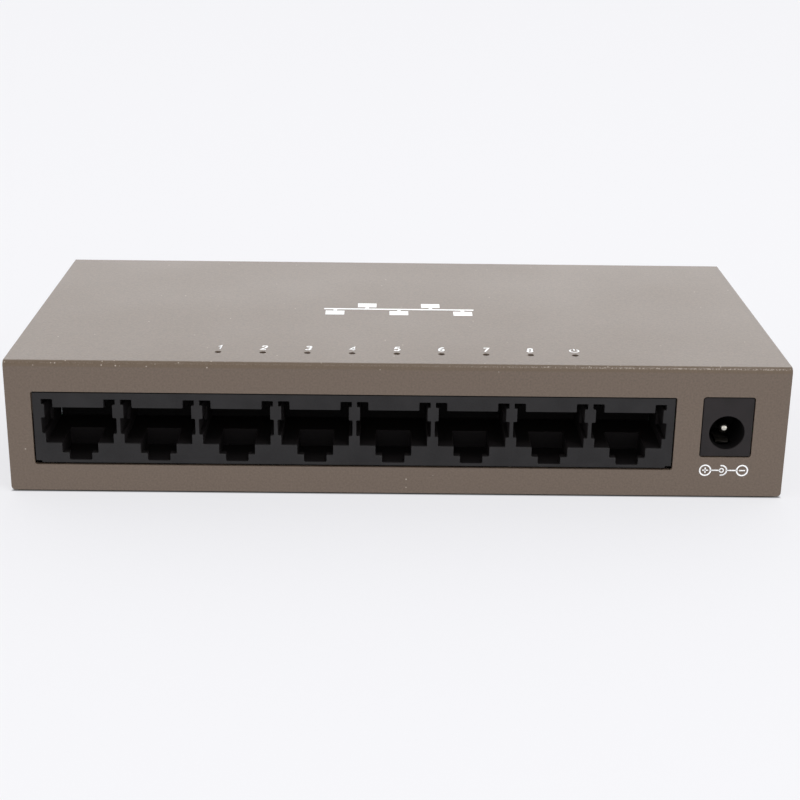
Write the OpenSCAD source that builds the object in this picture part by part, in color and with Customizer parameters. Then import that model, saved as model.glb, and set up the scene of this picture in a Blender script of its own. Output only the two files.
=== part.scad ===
// Desktop network switch with eight ports in a folded sheet-steel case.
// Millimetres. +Z is up, the ports face -Y and +X is on the right seen from the front.
// The origin is the middle of the footprint, on the surface that the case stands on.

/* [Case] */
// Width of the case, left to right
case_w = 138.8; // [138.4:0.1:140]
// Depth of the case, front to rear
case_d = 70; // [69.5:0.1:74]
// Height of the case over its pressed feet
case_h = 24.7; // [24.6:0.1:26]
// Thickness of the steel sheet
sheet_t = 0.8; // [0.7:0.05:0.9]
// Outside radius of the folds
bend_r = 1.0; // [0.95:0.05:1.2]
// Radius of the free lower corners of the front and rear walls
wall_corner_r = 0.7; // [0.5:0.1:2]
// Gap between the cover and the tray
case_gap = 0.15; // [0.1:0.05:0.2]
// Height of the pressed feet
foot_h = 0.3; // [0.2:0.05:0.4]
// Radius of the pressed feet
foot_r = 5; // [3:0.5:6]

/* [Vents and case fastening] */
// Number of vent slots in each side wall
vent_count = 12; // [4:1:13]
// Distance between vent slots
vent_pitch = 4.2; // [3.5:0.1:4.5]
// Width of a vent slot
vent_w = 1.8; // [1:0.1:2]
// Height of a vent slot
vent_h = 9; // [5:0.5:11]
// Distance of the hooks and rear screws from the middle
hook_x = 45; // [35:1:47]
// Width of a cover hook
hook_w = 11; // [8:1:12]

/* [Ports] */
// Number of ports
port_count = 8; // [8:1:8]
// Distance between port centres
port_pitch = 13.97; // [13.9:0.01:14]
// Middle of the row of ports
port_mid_x = -7.75; // [-8:0.05:-7.6]
// Width of the port housing
block_w = 113.9; // [113.5:0.1:114]
// Lower and upper edge of the port housing's face
block_z = [5.55, 18.85];
// Depth of the port housing
block_d = 14.5; // [14.5:0.1:14.7]
// Half width of the plug space
plug_half_w = 6.0; // [5.85:0.05:6.05]
// Floor and ceiling of the plug space
plug_z = [9.35, 16.1];
// Half widths of the wide and the narrow latch step
latch_half_w = [3.2, 2.0];
// Floors of the wide and the narrow latch step
latch_z = [7.5, 6.15];

/* [Port contacts] */
// Number of wires in a port
wire_count = 8; // [8:1:8]
// Distance between wires
wire_pitch = 1.016; // [1:0.002:1.02]
// Width and thickness of a wire
wire_w = 0.4; // [0.3:0.05:0.45]
wire_t = 0.3; // [0.25:0.01:0.3]
// Length of the spring arm
arm_len = 9.5; // [9:0.1:9.6]
// Slope of the spring arm at rest, in degrees
arm_slope = 12; // [11:0.5:12.5]

/* [Power jack] */
// Middle of the jack
jack_x = 58.7; // [58.6:0.1:58.8]
// Width of the jack
jack_w = 8.9; // [8.8:0.1:9]
// Lower and upper edge of the jack's face
jack_z = [8.0, 19.05];
// Height of the jack's axis
jack_axis_z = 12.47; // [12.4:0.01:12.6]
// Radius of the barrel
barrel_r = 3.18; // [3:0.02:3.2]
// Depth of the barrel
barrel_d = 9.5; // [9:0.1:9.6]
// Radius of the centre pin
pin_r = 1.0; // [0.95:0.05:1.05]

/* [Indicators] */
// Number of indicators: one for each port and one for power
led_count = 9; // [9:1:9]
// Distance between indicators
led_pitch = 8.0; // [7.9:0.1:8.1]
// Middle of the row of indicators
led_mid_x = -0.3; // [-0.5:0.1:0]
// Radius of the indicator holes
led_hole_r = 0.6; // [0.5:0.05:0.7]
// Distance of the indicator holes from the front
led_inset = 6.26; // [6.2:0.02:6.4]

/* [Circuit board] */
// Thickness of the board
board_t = 1.6; // [1.5:0.1:1.6]
// Half width of the board
board_half_w = 66.8; // [66.5:0.1:67]
// Rear edge of the board
board_rear_y = 28.5; // [27:0.5:28.5]

/* [Hidden] */

round_fn = 64;
over = 1;                                    // how far a cut runs past a face

// Case
half_w = case_w / 2;
half_d = case_d / 2;
front_y = -half_d;
inner_y = half_d - sheet_t;                  // inside faces of the front and rear walls
plate_top = foot_h + sheet_t;                // inside face of the base
tray_half_d = inner_y - case_gap;
tray_top = case_h - sheet_t - case_gap;
foot_pos = [half_w - 12, half_d - 12];
emboss_wall = 0.6;                           // ring left around a pressed foot
hook_d = 5.7;
pocket_rim = 0.8;
pocket_w = hook_w + 3;
pocket_d = 7;
vent_z = 13;

// Countersunk cover screws
screw_z = 13;
dish_r = [3.0, 1.7, 4.0];                    // mouth, throat and outside of the dished hole
dish_d = [1.3, 1.8];                         // depth of the cone and of the dish
cover_screw = [1.45, 2.9, 1.45, 6];          // shank radius, head radius, head height, length
lug_w = 14;
lug_h = 16;
lug_y = half_d - dish_d[1] - 0.1;            // outside face of the rear lugs
tap_r = 1.5;
collar_r = 2.4;
collar_l = 1.3;

// Board
board_top = 8.0;
board_bottom = board_top - board_t;
board_front_y = front_y + 9.2;               // edge behind the ports' latch pockets
jack_land = [50.2, front_y + 1.4];           // where the board reaches forward to the jack
fix_pos = [[-62, -13], [62, -13], [-62, 24], [62, 24]];
fix_hole_r = 1.6;
standoff_r = 2.9;
standoff_shank_r = 2.1;
standoff_bore_r = 1.25;
board_screw = [1.2, 2.75, 1.8, 5];           // shank radius, head radius, head height, length
peg_r = 1.5;
peg_x = 3 * port_pitch;
peg_y = front_y + 11.6;

// Ports
block_y = front_y + 0.1;                     // face of the port housing
block_rear = block_y + block_d;
nose_rear = board_front_y - 0.3;             // part of the housing that hangs past the board
window_gap = 0.2;
window_gap_low = 0.3;
window_r = 0.4;
face_d = 2.5;                                // thickness of the face over the ceiling recess
notch_d = 7.5;                               // depth of the outline's notches
face_notch = [1.1, 0.35];                    // cut at the lower corners of the face
latch_wall = 1.6;                            // wall that the latch hooks behind
pocket_half_w = 4.8;                         // recess in the ceiling for the contact insert
pocket_top = 17.6;
insert_z = [16.2, 17.1];
insert_nose_y = front_y + 3.1;
insert_half_w = 4.6;
insert_rear_t = 1.4;

// Wires
pivot_y = front_y + 3.25;
pivot_z = 15.7;
eye_r = 0.2;
tip_len = 1.5;
tip_slope = 25;
run_z = insert_z[1] + 0.05;
run_nose_y = insert_nose_y - 0.03 - wire_t;
leg_y = block_rear + 0.1 + insert_rear_t + 0.05;
jog_y = 2.0;                                 // every second leg stands this far behind
jog_z = 9.4;
leg_foot_z = board_bottom - 1.5;

// Jack
jack_y = front_y + 0.15;
jack_flange_d = 3.4;
jack_r = 0.35;                               // round corners of the jack's face
jack_gap = 0.2;
jack_d = 14.2;
pin_tip_y = jack_y + 2.0;
pin_root_r = pin_r + 0.6;                    // thicker root, held in the housing's rear wall
barrel_end_y = jack_y + barrel_d;
jack_rear = jack_y + jack_d;
spring_w = 2.4;
spring_t = 0.3;
spring_pivot = [jack_y + 11.25, 8.75];
spring_len = 6.7;
spring_slope = 9.5;
spring_tip = 1.4;
slot_y = [jack_y + 2.6, jack_y + 12.0];
slot_z = 8.2;

// Indicators
led_y = front_y + led_inset;
led_chip_y = front_y + 21.7;
guide_w = 1.6;
guide_z = [20.3, 21.8];
guide_tip_z = case_h - sheet_t - 0.2;

function port_x(i) = port_mid_x + (i - (port_count - 1) / 2) * port_pitch;
function wire_x(k) = (k - (wire_count - 1) / 2) * wire_pitch;
function led_x(i) = led_mid_x + (i - (led_count - 1) / 2) * led_pitch;

// A block between low and high limits on each axis
module block(x, y, z) {
    translate([x[0], y[0], z[0]]) cube([x[1] - x[0], y[1] - y[0], z[1] - z[0]]);
}

// Extrudes an outline in Y and Z along X
module along_x(x) {
    translate([x[0], 0, 0]) rotate([90, 0, 90]) linear_extrude(x[1] - x[0]) children();
}

// Extrudes an outline in X and Z along Y
module along_y(y) {
    translate([0, y[1], 0]) rotate([90, 0, 0]) linear_extrude(y[1] - y[0]) children();
}

// A cylinder along +Y from a point
module rod_y(r, l) {
    rotate([-90, 0, 0]) cylinder(r = r, h = l, $fn = round_fn);
}

// A rectangle standing on the X axis, with its two upper corners rounded
module arch(w, h, r) {
    translate([-w / 2, 0]) square([w, h - r]);
    translate([-w / 2 + r, 0]) square([w - 2 * r, h]);
    for (s = [-1, 1]) translate([s * (w / 2 - r), h - r]) circle(r, $fn = round_fn);
}

// A rectangle between limits with round corners
module window(x, z, r) {
    translate([x[0] + r, z[0]]) square([x[1] - x[0] - 2 * r, z[1] - z[0]]);
    translate([x[0], z[0] + r]) square([x[1] - x[0], z[1] - z[0] - 2 * r]);
    for (u = [x[0] + r, x[1] - r], v = [z[0] + r, z[1] - r])
        translate([u, v]) circle(r, $fn = round_fn);
}

// A slot with round ends, upright in its outline
module slot(w, h) {
    square([w, h - w], center = true);
    for (s = [-1, 1]) translate([0, s * (h - w) / 2]) circle(w / 2, $fn = round_fn);
}

// A folded sheet that is open at the bottom
module fold(w, h) {
    difference() {
        arch(w, h, bend_r);
        translate([0, -over]) arch(w - 2 * sheet_t, h - sheet_t + over, bend_r - sheet_t);
    }
}

// What is cut off a square lower corner to round it
module corner_cut(s) {
    difference() {
        translate([s * (half_w - wall_corner_r) + (s < 0 ? -over - wall_corner_r : 0), foot_h - over])
            square([wall_corner_r + over, wall_corner_r + over]);
        translate([s * (half_w - wall_corner_r), foot_h + wall_corner_r])
            circle(wall_corner_r, $fn = round_fn);
    }
}

// The dished sheet around a countersunk screw
module dish() {
    rotate([90, 0, 0]) rotate_extrude($fn = round_fn)
        polygon([[dish_r[0], 0], [dish_r[2], 0], [dish_r[2], sheet_t], [dish_r[0] + 0.3, sheet_t],
                 [dish_r[1] + 0.6, dish_d[1]], [dish_r[1], dish_d[1]], [dish_r[1], dish_d[0]]]);
}

// A cross recess, sunk below z = 0
module cross_recess(l, w, d) {
    for (a = [0, 90]) rotate([0, 0, a]) translate([-l / 2, -w / 2, -d]) cube([l, w, d + over]);
}

// A flat strip of metal in the Y and Z plane from a point, at a slope
module strip(y, z, w, t, l, slope) {
    translate([0, y, z]) rotate([slope, 0, 0]) translate([-w / 2, 0, -t / 2]) cube([w, l, t]);
}

module top_cover() {
    color("#7A6D62") {
        difference() {
            along_x([-half_w, half_w]) translate([0, foot_h]) fold(case_d, case_h - foot_h);
            along_y([front_y - over, -inner_y + 0.1])
                window([port_mid_x - block_w / 2 - window_gap, port_mid_x + block_w / 2 + window_gap],
                       [block_z[0] - window_gap_low, block_z[1] + window_gap], window_r);
            along_y([front_y - over, -inner_y + 0.1])
                window([jack_x - jack_w / 2 - jack_gap, jack_x + jack_w / 2 + jack_gap],
                       [jack_z[0] - jack_gap, jack_z[1] + jack_gap], jack_r + jack_gap);
            for (s = [-1, 1]) along_y([front_y - over, half_d + over]) corner_cut(s);
            for (i = [0:led_count - 1])
                translate([led_x(i), led_y, case_h - sheet_t - over])
                    cylinder(r = led_hole_r, h = sheet_t + 2 * over, $fn = round_fn);
            for (s = [-1, 1])
                translate([s * hook_x, inner_y - over, screw_z]) rod_y(dish_r[2], 3);
        }
        for (s = [-1, 1]) {
            translate([s * hook_x, half_d, screw_z]) dish();
            block([s * hook_x - hook_w / 2, s * hook_x + hook_w / 2],
                  [-inner_y - sheet_t / 2, -inner_y + hook_d], [foot_h, plate_top]);
        }
    }
}

// A raised place in the base that a cover hook slides under
module hook_pocket() {
    difference() {
        block([-pocket_w / 2 - pocket_rim, pocket_w / 2 + pocket_rim],
              [-tray_half_d, -tray_half_d + pocket_d + pocket_rim],
              [foot_h, plate_top + sheet_t + case_gap]);
        block([-pocket_w / 2, pocket_w / 2], [-half_d, -tray_half_d + pocket_d],
              [-over, plate_top + case_gap]);
    }
}

module base_tray() {
    color("#73665B") difference() {
        union() {
            difference() {
                along_y([-tray_half_d, tray_half_d])
                    translate([0, tray_top]) mirror([0, 1]) fold(case_w, tray_top - foot_h);
                for (s = [-1, 1]) {
                    block([s * hook_x - pocket_w / 2, s * hook_x + pocket_w / 2],
                          [-half_d, -tray_half_d + pocket_d], [-over, plate_top + over]);
                    block([s * hook_x - lug_w / 2 - 1, s * hook_x + lug_w / 2 + 1],
                          [lug_y - sheet_t - 1, half_d], [-over, plate_top + over]);
                }
                for (i = [0:vent_count - 1])
                    along_x([-half_w - over, half_w + over])
                        translate([(i - (vent_count - 1) / 2) * vent_pitch, vent_z])
                            slot(vent_w, vent_h);
            }
            for (s = [-1, 1]) {
                translate([s * hook_x, 0, 0]) hook_pocket();
                block([s * hook_x - lug_w / 2, s * hook_x + lug_w / 2],
                      [lug_y - sheet_t, lug_y], [foot_h, lug_h]);
                block([s * hook_x - lug_w / 2, s * hook_x + lug_w / 2],
                      [lug_y - sheet_t - 2, lug_y - sheet_t / 2], [foot_h, plate_top]);
                translate([s * hook_x, lug_y - sheet_t - collar_l, screw_z])
                    rod_y(collar_r, collar_l + sheet_t / 2);
            }
            for (sx = [-1, 1], sy = [-1, 1])
                translate([sx * foot_pos[0], sy * foot_pos[1], 0])
                    cylinder(r = foot_r, h = plate_top - 0.1, $fn = round_fn);
        }
        for (sx = [-1, 1], sy = [-1, 1])
            translate([sx * foot_pos[0], sy * foot_pos[1], sheet_t])
                cylinder(r = foot_r - emboss_wall, h = over, $fn = round_fn);
        for (s = [-1, 1])
            translate([s * hook_x, lug_y - 5, screw_z]) rod_y(tap_r, 6);
        for (p = fix_pos)
            translate([p[0], p[1], -over])
                cylinder(r = standoff_shank_r + 0.03, h = 3, $fn = round_fn);
    }
}

module cover_screws() {
    color("#B9BBBD") for (s = [-1, 1])
        translate([s * hook_x, half_d - 0.05, screw_z]) rotate([-90, 0, 0]) difference() {
            union() {
                translate([0, 0, -cover_screw[2]])
                    cylinder(r1 = cover_screw[0], r2 = cover_screw[1], h = cover_screw[2], $fn = round_fn);
                translate([0, 0, -cover_screw[3]])
                    cylinder(r = cover_screw[0], h = cover_screw[3] - 0.2, $fn = round_fn);
            }
            cross_recess(3.0, 0.7, 1.0);
        }
}

module board_standoffs() {
    color("#C8B070") for (p = fix_pos) translate([p[0], p[1], 0]) difference() {
        union() {
            translate([0, 0, plate_top])
                cylinder(r = standoff_r, h = board_bottom - plate_top, $fn = 6);
            translate([0, 0, foot_h])
                cylinder(r = standoff_shank_r, h = sheet_t + 0.1, $fn = round_fn);
        }
        translate([0, 0, foot_h + 0.6])
            cylinder(r = standoff_bore_r, h = board_bottom, $fn = round_fn);
    }
}

module board_screws() {
    color("#C4C6C8") for (p = fix_pos) translate([p[0], p[1], board_top]) difference() {
        union() {
            cylinder(r = board_screw[1], h = board_screw[2] / 2, $fn = round_fn);
            translate([0, 0, board_screw[2] / 2])
                cylinder(r1 = board_screw[1], r2 = board_screw[1] * 0.72, h = board_screw[2] / 2,
                         $fn = round_fn);
            translate([0, 0, -board_screw[3]])
                cylinder(r = board_screw[0], h = board_screw[3] + 0.1, $fn = round_fn);
        }
        translate([0, 0, board_screw[2]]) cross_recess(3.0, 0.7, 1.1);
    }
}

module insulating_sheet() {
    color("#E9E4D2") difference() {
        block([-board_half_w + 1, board_half_w - 1], [-25.5, board_rear_y], [plate_top, plate_top + 0.25]);
        for (p = fix_pos)
            translate([p[0], p[1], 0]) cylinder(r = standoff_r + 0.5, h = 4, $fn = round_fn);
        for (sx = [-1, 1])
            block([sx * foot_pos[0] - foot_r, sx * foot_pos[0] + foot_r],
                  [-foot_pos[1] - foot_r, -foot_pos[1] + foot_r], [0, 4]);
    }
}

module underside_label() {
    color("#E8E8E6") translate([0, 0, foot_h - 0.1]) linear_extrude(0.1)
        window([-31, 31], [-15, 15], 2);
}

module circuit_board() {
    color("#1E4D33") difference() {
        translate([0, 0, board_bottom]) linear_extrude(board_t)
            polygon([[-board_half_w, board_front_y], [jack_land[0], board_front_y], jack_land,
                     [board_half_w, jack_land[1]], [board_half_w, board_rear_y],
                     [-board_half_w, board_rear_y]]);
        for (p = fix_pos)
            translate([p[0], p[1], 0]) cylinder(r = fix_hole_r, h = 20, $fn = round_fn);
        for (s = [-1, 1])
            translate([port_mid_x + s * peg_x, peg_y, 0])
                cylinder(r = peg_r + 0.08, h = 20, $fn = round_fn);
    }
}

// Half of a port's outline, right of its centre line
module port_half_outline() {
    polygon([[0, plug_z[1]], [4.55, plug_z[1]], [4.55, 17.6], [6.5, 17.6], [6.5, 16.65],
             [plug_half_w, 16.65], [plug_half_w, 14.1], [6.63, 14.1], [6.63, 11.15],
             [plug_half_w, 11.15], [plug_half_w, plug_z[0]], [latch_half_w[0], plug_z[0]],
             [latch_half_w[0], latch_z[0]], [latch_half_w[1], latch_z[0]],
             [latch_half_w[1], latch_z[1]], [0, latch_z[1]]]);
}

// Everything that is hollow in one port, about its centre line
module port_hollow() {
    along_y([block_y - over, block_y + notch_d]) {
        port_half_outline();
        mirror([1, 0]) port_half_outline();
    }
    block([-plug_half_w, plug_half_w], [block_y, block_rear + over], plug_z);
    block([-latch_half_w[0], latch_half_w[0]], [block_y + latch_wall, nose_rear - 0.8],
          [latch_z[1], plug_z[0] + 0.1]);
    block([-pocket_half_w, pocket_half_w], [block_y + face_d, block_rear + over],
          [plug_z[1] - 0.1, pocket_top]);
}

module port_housing() {
    x = [port_mid_x - block_w / 2, port_mid_x + block_w / 2];
    color("#2E2D2E") {
        difference() {
            block(x, [block_y, block_rear], block_z);
            block([x[0] - over, x[1] + over], [nose_rear, block_rear + over], [0, board_top]);
            for (u = [x[0] - over, x[1] - face_notch[0]])
                block([u, u + over + face_notch[0]], [block_y - over, block_y + face_d],
                      [0, block_z[0] + face_notch[1]]);
            for (i = [0:port_count - 1]) translate([port_x(i), 0, 0]) port_hollow();
        }
        for (s = [-1, 1])
            translate([port_mid_x + s * peg_x, peg_y, board_bottom - 0.8])
                cylinder(r = peg_r, h = board_t + 0.8 + 0.2, $fn = round_fn);
    }
}

module contact_inserts() {
    color("#232324") for (i = [0:port_count - 1]) translate([port_x(i), 0, 0]) {
        block([-insert_half_w, insert_half_w], [insert_nose_y, block_rear + 0.2], insert_z);
        block([-plug_half_w, plug_half_w], [block_rear + 0.1, block_rear + 0.1 + insert_rear_t],
              [board_top, insert_z[1]]);
    }
}

// The fixed length of one wire: over the insert's tongue, down its back and through the board
module terminal(jogged) {
    half = wire_w / 2;
    block([-half, half], [run_nose_y, run_nose_y + wire_t], [insert_z[0] + 0.1, run_z + wire_t]);
    block([-half, half], [run_nose_y, leg_y + wire_t], [run_z, run_z + wire_t]);
    if (jogged) {
        block([-half, half], [leg_y, leg_y + wire_t], [jog_z, run_z + wire_t]);
        block([-half, half], [leg_y, leg_y + jog_y + wire_t], [jog_z, jog_z + wire_t]);
        block([-half, half], [leg_y + jog_y, leg_y + jog_y + wire_t], [leg_foot_z, jog_z + wire_t]);
    } else {
        block([-half, half], [leg_y, leg_y + wire_t], [leg_foot_z, run_z + wire_t]);
    }
}

module port_terminals() {
    color("#D2B04A") for (i = [0:port_count - 1], k = [0:wire_count - 1])
        translate([port_x(i) + wire_x(k), 0, 0]) terminal(k % 2 == 1);
}

// The spring lengths of one port's wires, which rise together when a plug goes in
module port_contacts(i) {
    color("#E0BE55") for (k = [0:wire_count - 1]) translate([port_x(i) + wire_x(k), 0, 0]) {
        translate([-wire_w / 2, pivot_y, pivot_z]) rotate([0, 90, 0])
            cylinder(r = eye_r, h = wire_w, $fn = round_fn);
        strip(pivot_y, pivot_z, wire_w, wire_t, arm_len, -arm_slope);
        strip(pivot_y + arm_len * cos(arm_slope), pivot_z - arm_len * sin(arm_slope),
              wire_w, wire_t, tip_len, tip_slope);
    }
}

module dc_jack_housing() {
    half = jack_w / 2;
    color("#2B2A2B") difference() {
        union() {
            along_y([jack_y, jack_y + jack_flange_d]) window([jack_x - half, jack_x + half], jack_z, jack_r);
            block([jack_x - half, jack_x + half], [jack_y, jack_rear], [jack_z[0], jack_axis_z]);
            translate([jack_x, jack_y, jack_axis_z]) rod_y(half, jack_d);
        }
        translate([jack_x, jack_y - over, jack_axis_z]) rod_y(barrel_r, barrel_d + over);
        translate([jack_x, jack_y, jack_axis_z]) rod_y(pin_root_r + 0.05, jack_d + over);
        block([jack_x - spring_w / 2 - 0.3, jack_x + spring_w / 2 + 0.3], slot_y,
              [slot_z, jack_axis_z - barrel_r + 0.6]);
        block([jack_x - spring_w / 2 - 0.3, jack_x + spring_w / 2 + 0.3],
              [slot_y[1] - 1.2, slot_y[1]], [jack_z[0] - over, slot_z + over]);
    }
}

module dc_jack_pin() {
    color("#C9CCCF") translate([jack_x, pin_tip_y + pin_r, jack_axis_z]) {
        sphere(r = pin_r, $fn = round_fn);
        rod_y(pin_r, barrel_end_y - pin_tip_y - pin_r + 0.1);
        translate([0, barrel_end_y - pin_tip_y - pin_r, 0])
            rod_y(pin_root_r, jack_rear - barrel_end_y + 0.9);
        translate([0, jack_rear - pin_tip_y - pin_r + 0.45, 0]) rod_y(pin_root_r + 0.55, 0.45);
    }
}

module dc_jack_terminals() {
    color("#BFC2C4") translate([jack_x, 0, 0]) {
        difference() {
            block([-2.4, 2.4], [jack_rear + 0.05, jack_rear + 0.4], [leg_foot_z, jack_axis_z + 2.2]);
            translate([0, jack_rear - over, jack_axis_z]) rod_y(pin_root_r + 0.03, 3);
        }
        block([-1.1, 1.1], [slot_y[1] - 0.9, slot_y[1] - 0.55], [leg_foot_z, spring_pivot[1] - 0.45]);
        block([-spring_w / 2, spring_w / 2], [slot_y[0] + 0.2, slot_y[0] + 2.2], [slot_z, slot_z + 0.25]);
    }
}

module dc_jack_spring() {
    end_y = spring_pivot[0] - spring_len * cos(spring_slope);
    end_z = spring_pivot[1] + spring_len * sin(spring_slope);
    color("#D8C27A") translate([jack_x, 0, 0]) {
        translate([-spring_w / 2, spring_pivot[0], spring_pivot[1]]) rotate([0, 90, 0])
            cylinder(r = 0.25, h = spring_w, $fn = round_fn);
        strip(end_y, end_z, spring_w, spring_t, spring_len, -spring_slope);
        translate([0, end_y, end_z]) mirror([0, 1, 0])
            strip(0, 0, spring_w, spring_t, spring_tip, -20);
    }
}

// One finger carries the light of one indicator from the board to its hole
module light_finger() {
    half = guide_w / 2;
    rear = led_chip_y + half;
    along_x([-half, half])
        polygon([[led_y - half, guide_z[0] + 0.9], [led_y + 0.1, guide_z[0]],
                 [rear - guide_w, guide_z[0]], [rear - guide_w, board_top + 1.1],
                 [rear, board_top + 1.1], [rear, guide_z[1] - 1.1], [rear - 1.1, guide_z[1]],
                 [led_y + 0.5, guide_z[1]], [led_y + 0.5, guide_tip_z],
                 [led_y - 0.5, guide_tip_z], [led_y - 0.5, guide_z[1]], [led_y - half, guide_z[1]]]);
}

module light_guide() {
    color([0.85, 0.9, 0.92, 0.5]) {
        for (i = [0:led_count - 1]) translate([led_x(i), 0, 0]) light_finger();
        block([led_x(0), led_x(led_count - 1)], [-22.5, -20.5], [guide_z[0], guide_z[0] + 1.2]);
    }
}

module light_shroud() {
    gap = 0.15;
    color("#1C1C1D") difference() {
        block([led_x(0) - 3, led_x(led_count - 1) + 3], [led_y - 2.2, led_y + 3.2], [block_z[1], guide_tip_z]);
        for (i = [0:led_count - 1]) translate([led_x(i), 0, 0]) {
            block([-guide_w / 2 - gap, guide_w / 2 + gap], [led_y - guide_w / 2 - gap, half_d],
                  [guide_z[0] - gap, guide_z[1] + gap]);
            block([-guide_w / 2 - gap, guide_w / 2 + gap], [led_y - 0.5 - gap, led_y + 0.5 + gap],
                  [guide_z[0], guide_tip_z + over]);
        }
    }
}

module status_leds() {
    color("#F1F0E4") for (i = [0:led_count - 1]) translate([led_x(i), led_chip_y, 0]) {
        block([-0.8, 0.8], [-0.4, 0.4], [board_top, board_top + 0.35]);
        block([-0.5, 0.5], [-0.4, 0.4], [board_top + 0.3, board_top + 0.8]);
    }
}

module transformers() {
    color("#222223") for (p = [-3, -1, 1, 3]) translate([port_mid_x + p * port_pitch, -4.5, 0])
        difference() {
            block([-7.6, 7.6], [-3.8, 3.8], [board_top + 0.2, board_top + 5.8]);
            translate([-6, -2.4, board_top + 5.5]) cylinder(r = 0.6, h = over, $fn = round_fn);
        }
}

module switch_chip() {
    color("#1A1A1B") difference() {
        block([-7, 13], [4, 18], [board_top + 0.1, board_top + 1.5]);
        translate([-5.6, 5.4, board_top + 1.4]) cylinder(r = 0.7, h = over, $fn = round_fn);
    }
}

module crystal() {
    color("#C5C8CB") translate([-20, 8, board_top]) {
        linear_extrude(0.4) rotate(90) slot(4.6, 11.2);
        translate([0, 0, 0.3]) linear_extrude(3.2) rotate(90) slot(3.9, 10.3);
    }
}

module setup_memory() {
    color("#1D1D1E") block([-22.5, -17.6], [15, 18.9], [board_top + 0.15, board_top + 1.6]);
}

module bulk_capacitors() {
    color("#2B3A66") for (p = [[47, -9.5, 4, 11.5], [55.5, 20, 3.15, 8]])
        translate([p[0], p[1], board_top]) {
            cylinder(r = p[2] - 0.25, h = p[3] - 0.3, $fn = round_fn);
            cylinder(r = p[2], h = 1.6, $fn = round_fn);
            translate([0, 0, 2.1]) cylinder(r = p[2], h = p[3] - 2.1, $fn = round_fn);
        }
}

module power_inductor() {
    color("#4A4B4D") translate([42, 12, board_top]) {
        linear_extrude(3) window([-3.5, 3.5], [-3.5, 3.5], 1.4);
    }
}

module regulator_chip() {
    color("#1B1B1C") block([31, 35.9], [9.5, 13.4], [board_top + 0.15, board_top + 1.6]);
}

module input_diode() {
    color("#202021") block([56.5, 60.8], [-10.5, -7.9], [board_top + 0.1, board_top + 2.2]);
}

module input_fuse() {
    color("#2F6B45") block([56.3, 60.9], [-5.5, -2.3], [board_top, board_top + 0.9]);
}

module surge_capacitor() {
    color("#3C63A8") translate([-48, 12, board_top + 5.2]) rotate([0, 90, 0])
        translate([0, 0, -1.7]) cylinder(r = 4.4, h = 3.4, $fn = round_fn);
}

// A small part with two soldered ends
module chip(l, w, h) {
    block([-l / 2, l / 2], [-w / 2, w / 2], [board_top, board_top + h]);
}

module chip_resistors() {
    color("#1F2022") {
        for (i = [0:led_count - 1]) translate([led_x(i), led_chip_y + 2.4, 0]) chip(1.6, 0.8, 0.45);
        for (p = [-3, -1, 1, 3], k = [-1.5:1:1.5])
            translate([port_mid_x + p * port_pitch + k * 2.6, 1.2, 0]) chip(1.6, 0.8, 0.45);
        for (k = [0:2]) translate([31.5 + k * 2.2, 16.5, 0]) rotate([0, 0, 90]) chip(1.6, 0.8, 0.45);
    }
}

module chip_capacitors() {
    color("#B39A72") {
        for (k = [0:5]) translate([-6 + k * 3.6, 20.6, 0]) chip(1.6, 0.8, 0.8);
        for (k = [0:3]) translate([16, 6 + k * 3.2, 0]) rotate([0, 0, 90]) chip(1.6, 0.8, 0.8);
        for (k = [0:1]) translate([49, 9 + k * 4.4, 0]) rotate([0, 0, 90]) chip(3.2, 1.6, 1.4);
        for (s = [-1, 1]) translate([-20 + s * 4.2, 4, 0]) chip(1.6, 0.8, 0.8);
    }
}

top_cover();
base_tray();
cover_screws();
board_standoffs();
board_screws();
insulating_sheet();
underside_label();
circuit_board();
port_housing();
contact_inserts();
port_terminals();
for (i = [0:port_count - 1])
    port_contacts(i);
dc_jack_housing();
dc_jack_pin();
dc_jack_terminals();
dc_jack_spring();
light_guide();
light_shroud();
status_leds();
transformers();
switch_chip();
crystal();
setup_memory();
bulk_capacitors();
power_inductor();
regulator_chip();
input_diode();
input_fuse();
surge_capacitor();
chip_resistors();
chip_capacitors();
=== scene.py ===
"""Surfaces, fine detail and studio for a desktop network switch with eight ports.

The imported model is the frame. Sizes below are in millimetres of that frame, places come from
the boxes of its nodes, and one factor turns them into Blender's metres.
"""

import logging
import math
from dataclasses import dataclass, field, replace
from enum import Enum
from typing import Iterable, Sequence

import bmesh
import bpy
from mathutils import Matrix, Vector


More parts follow.
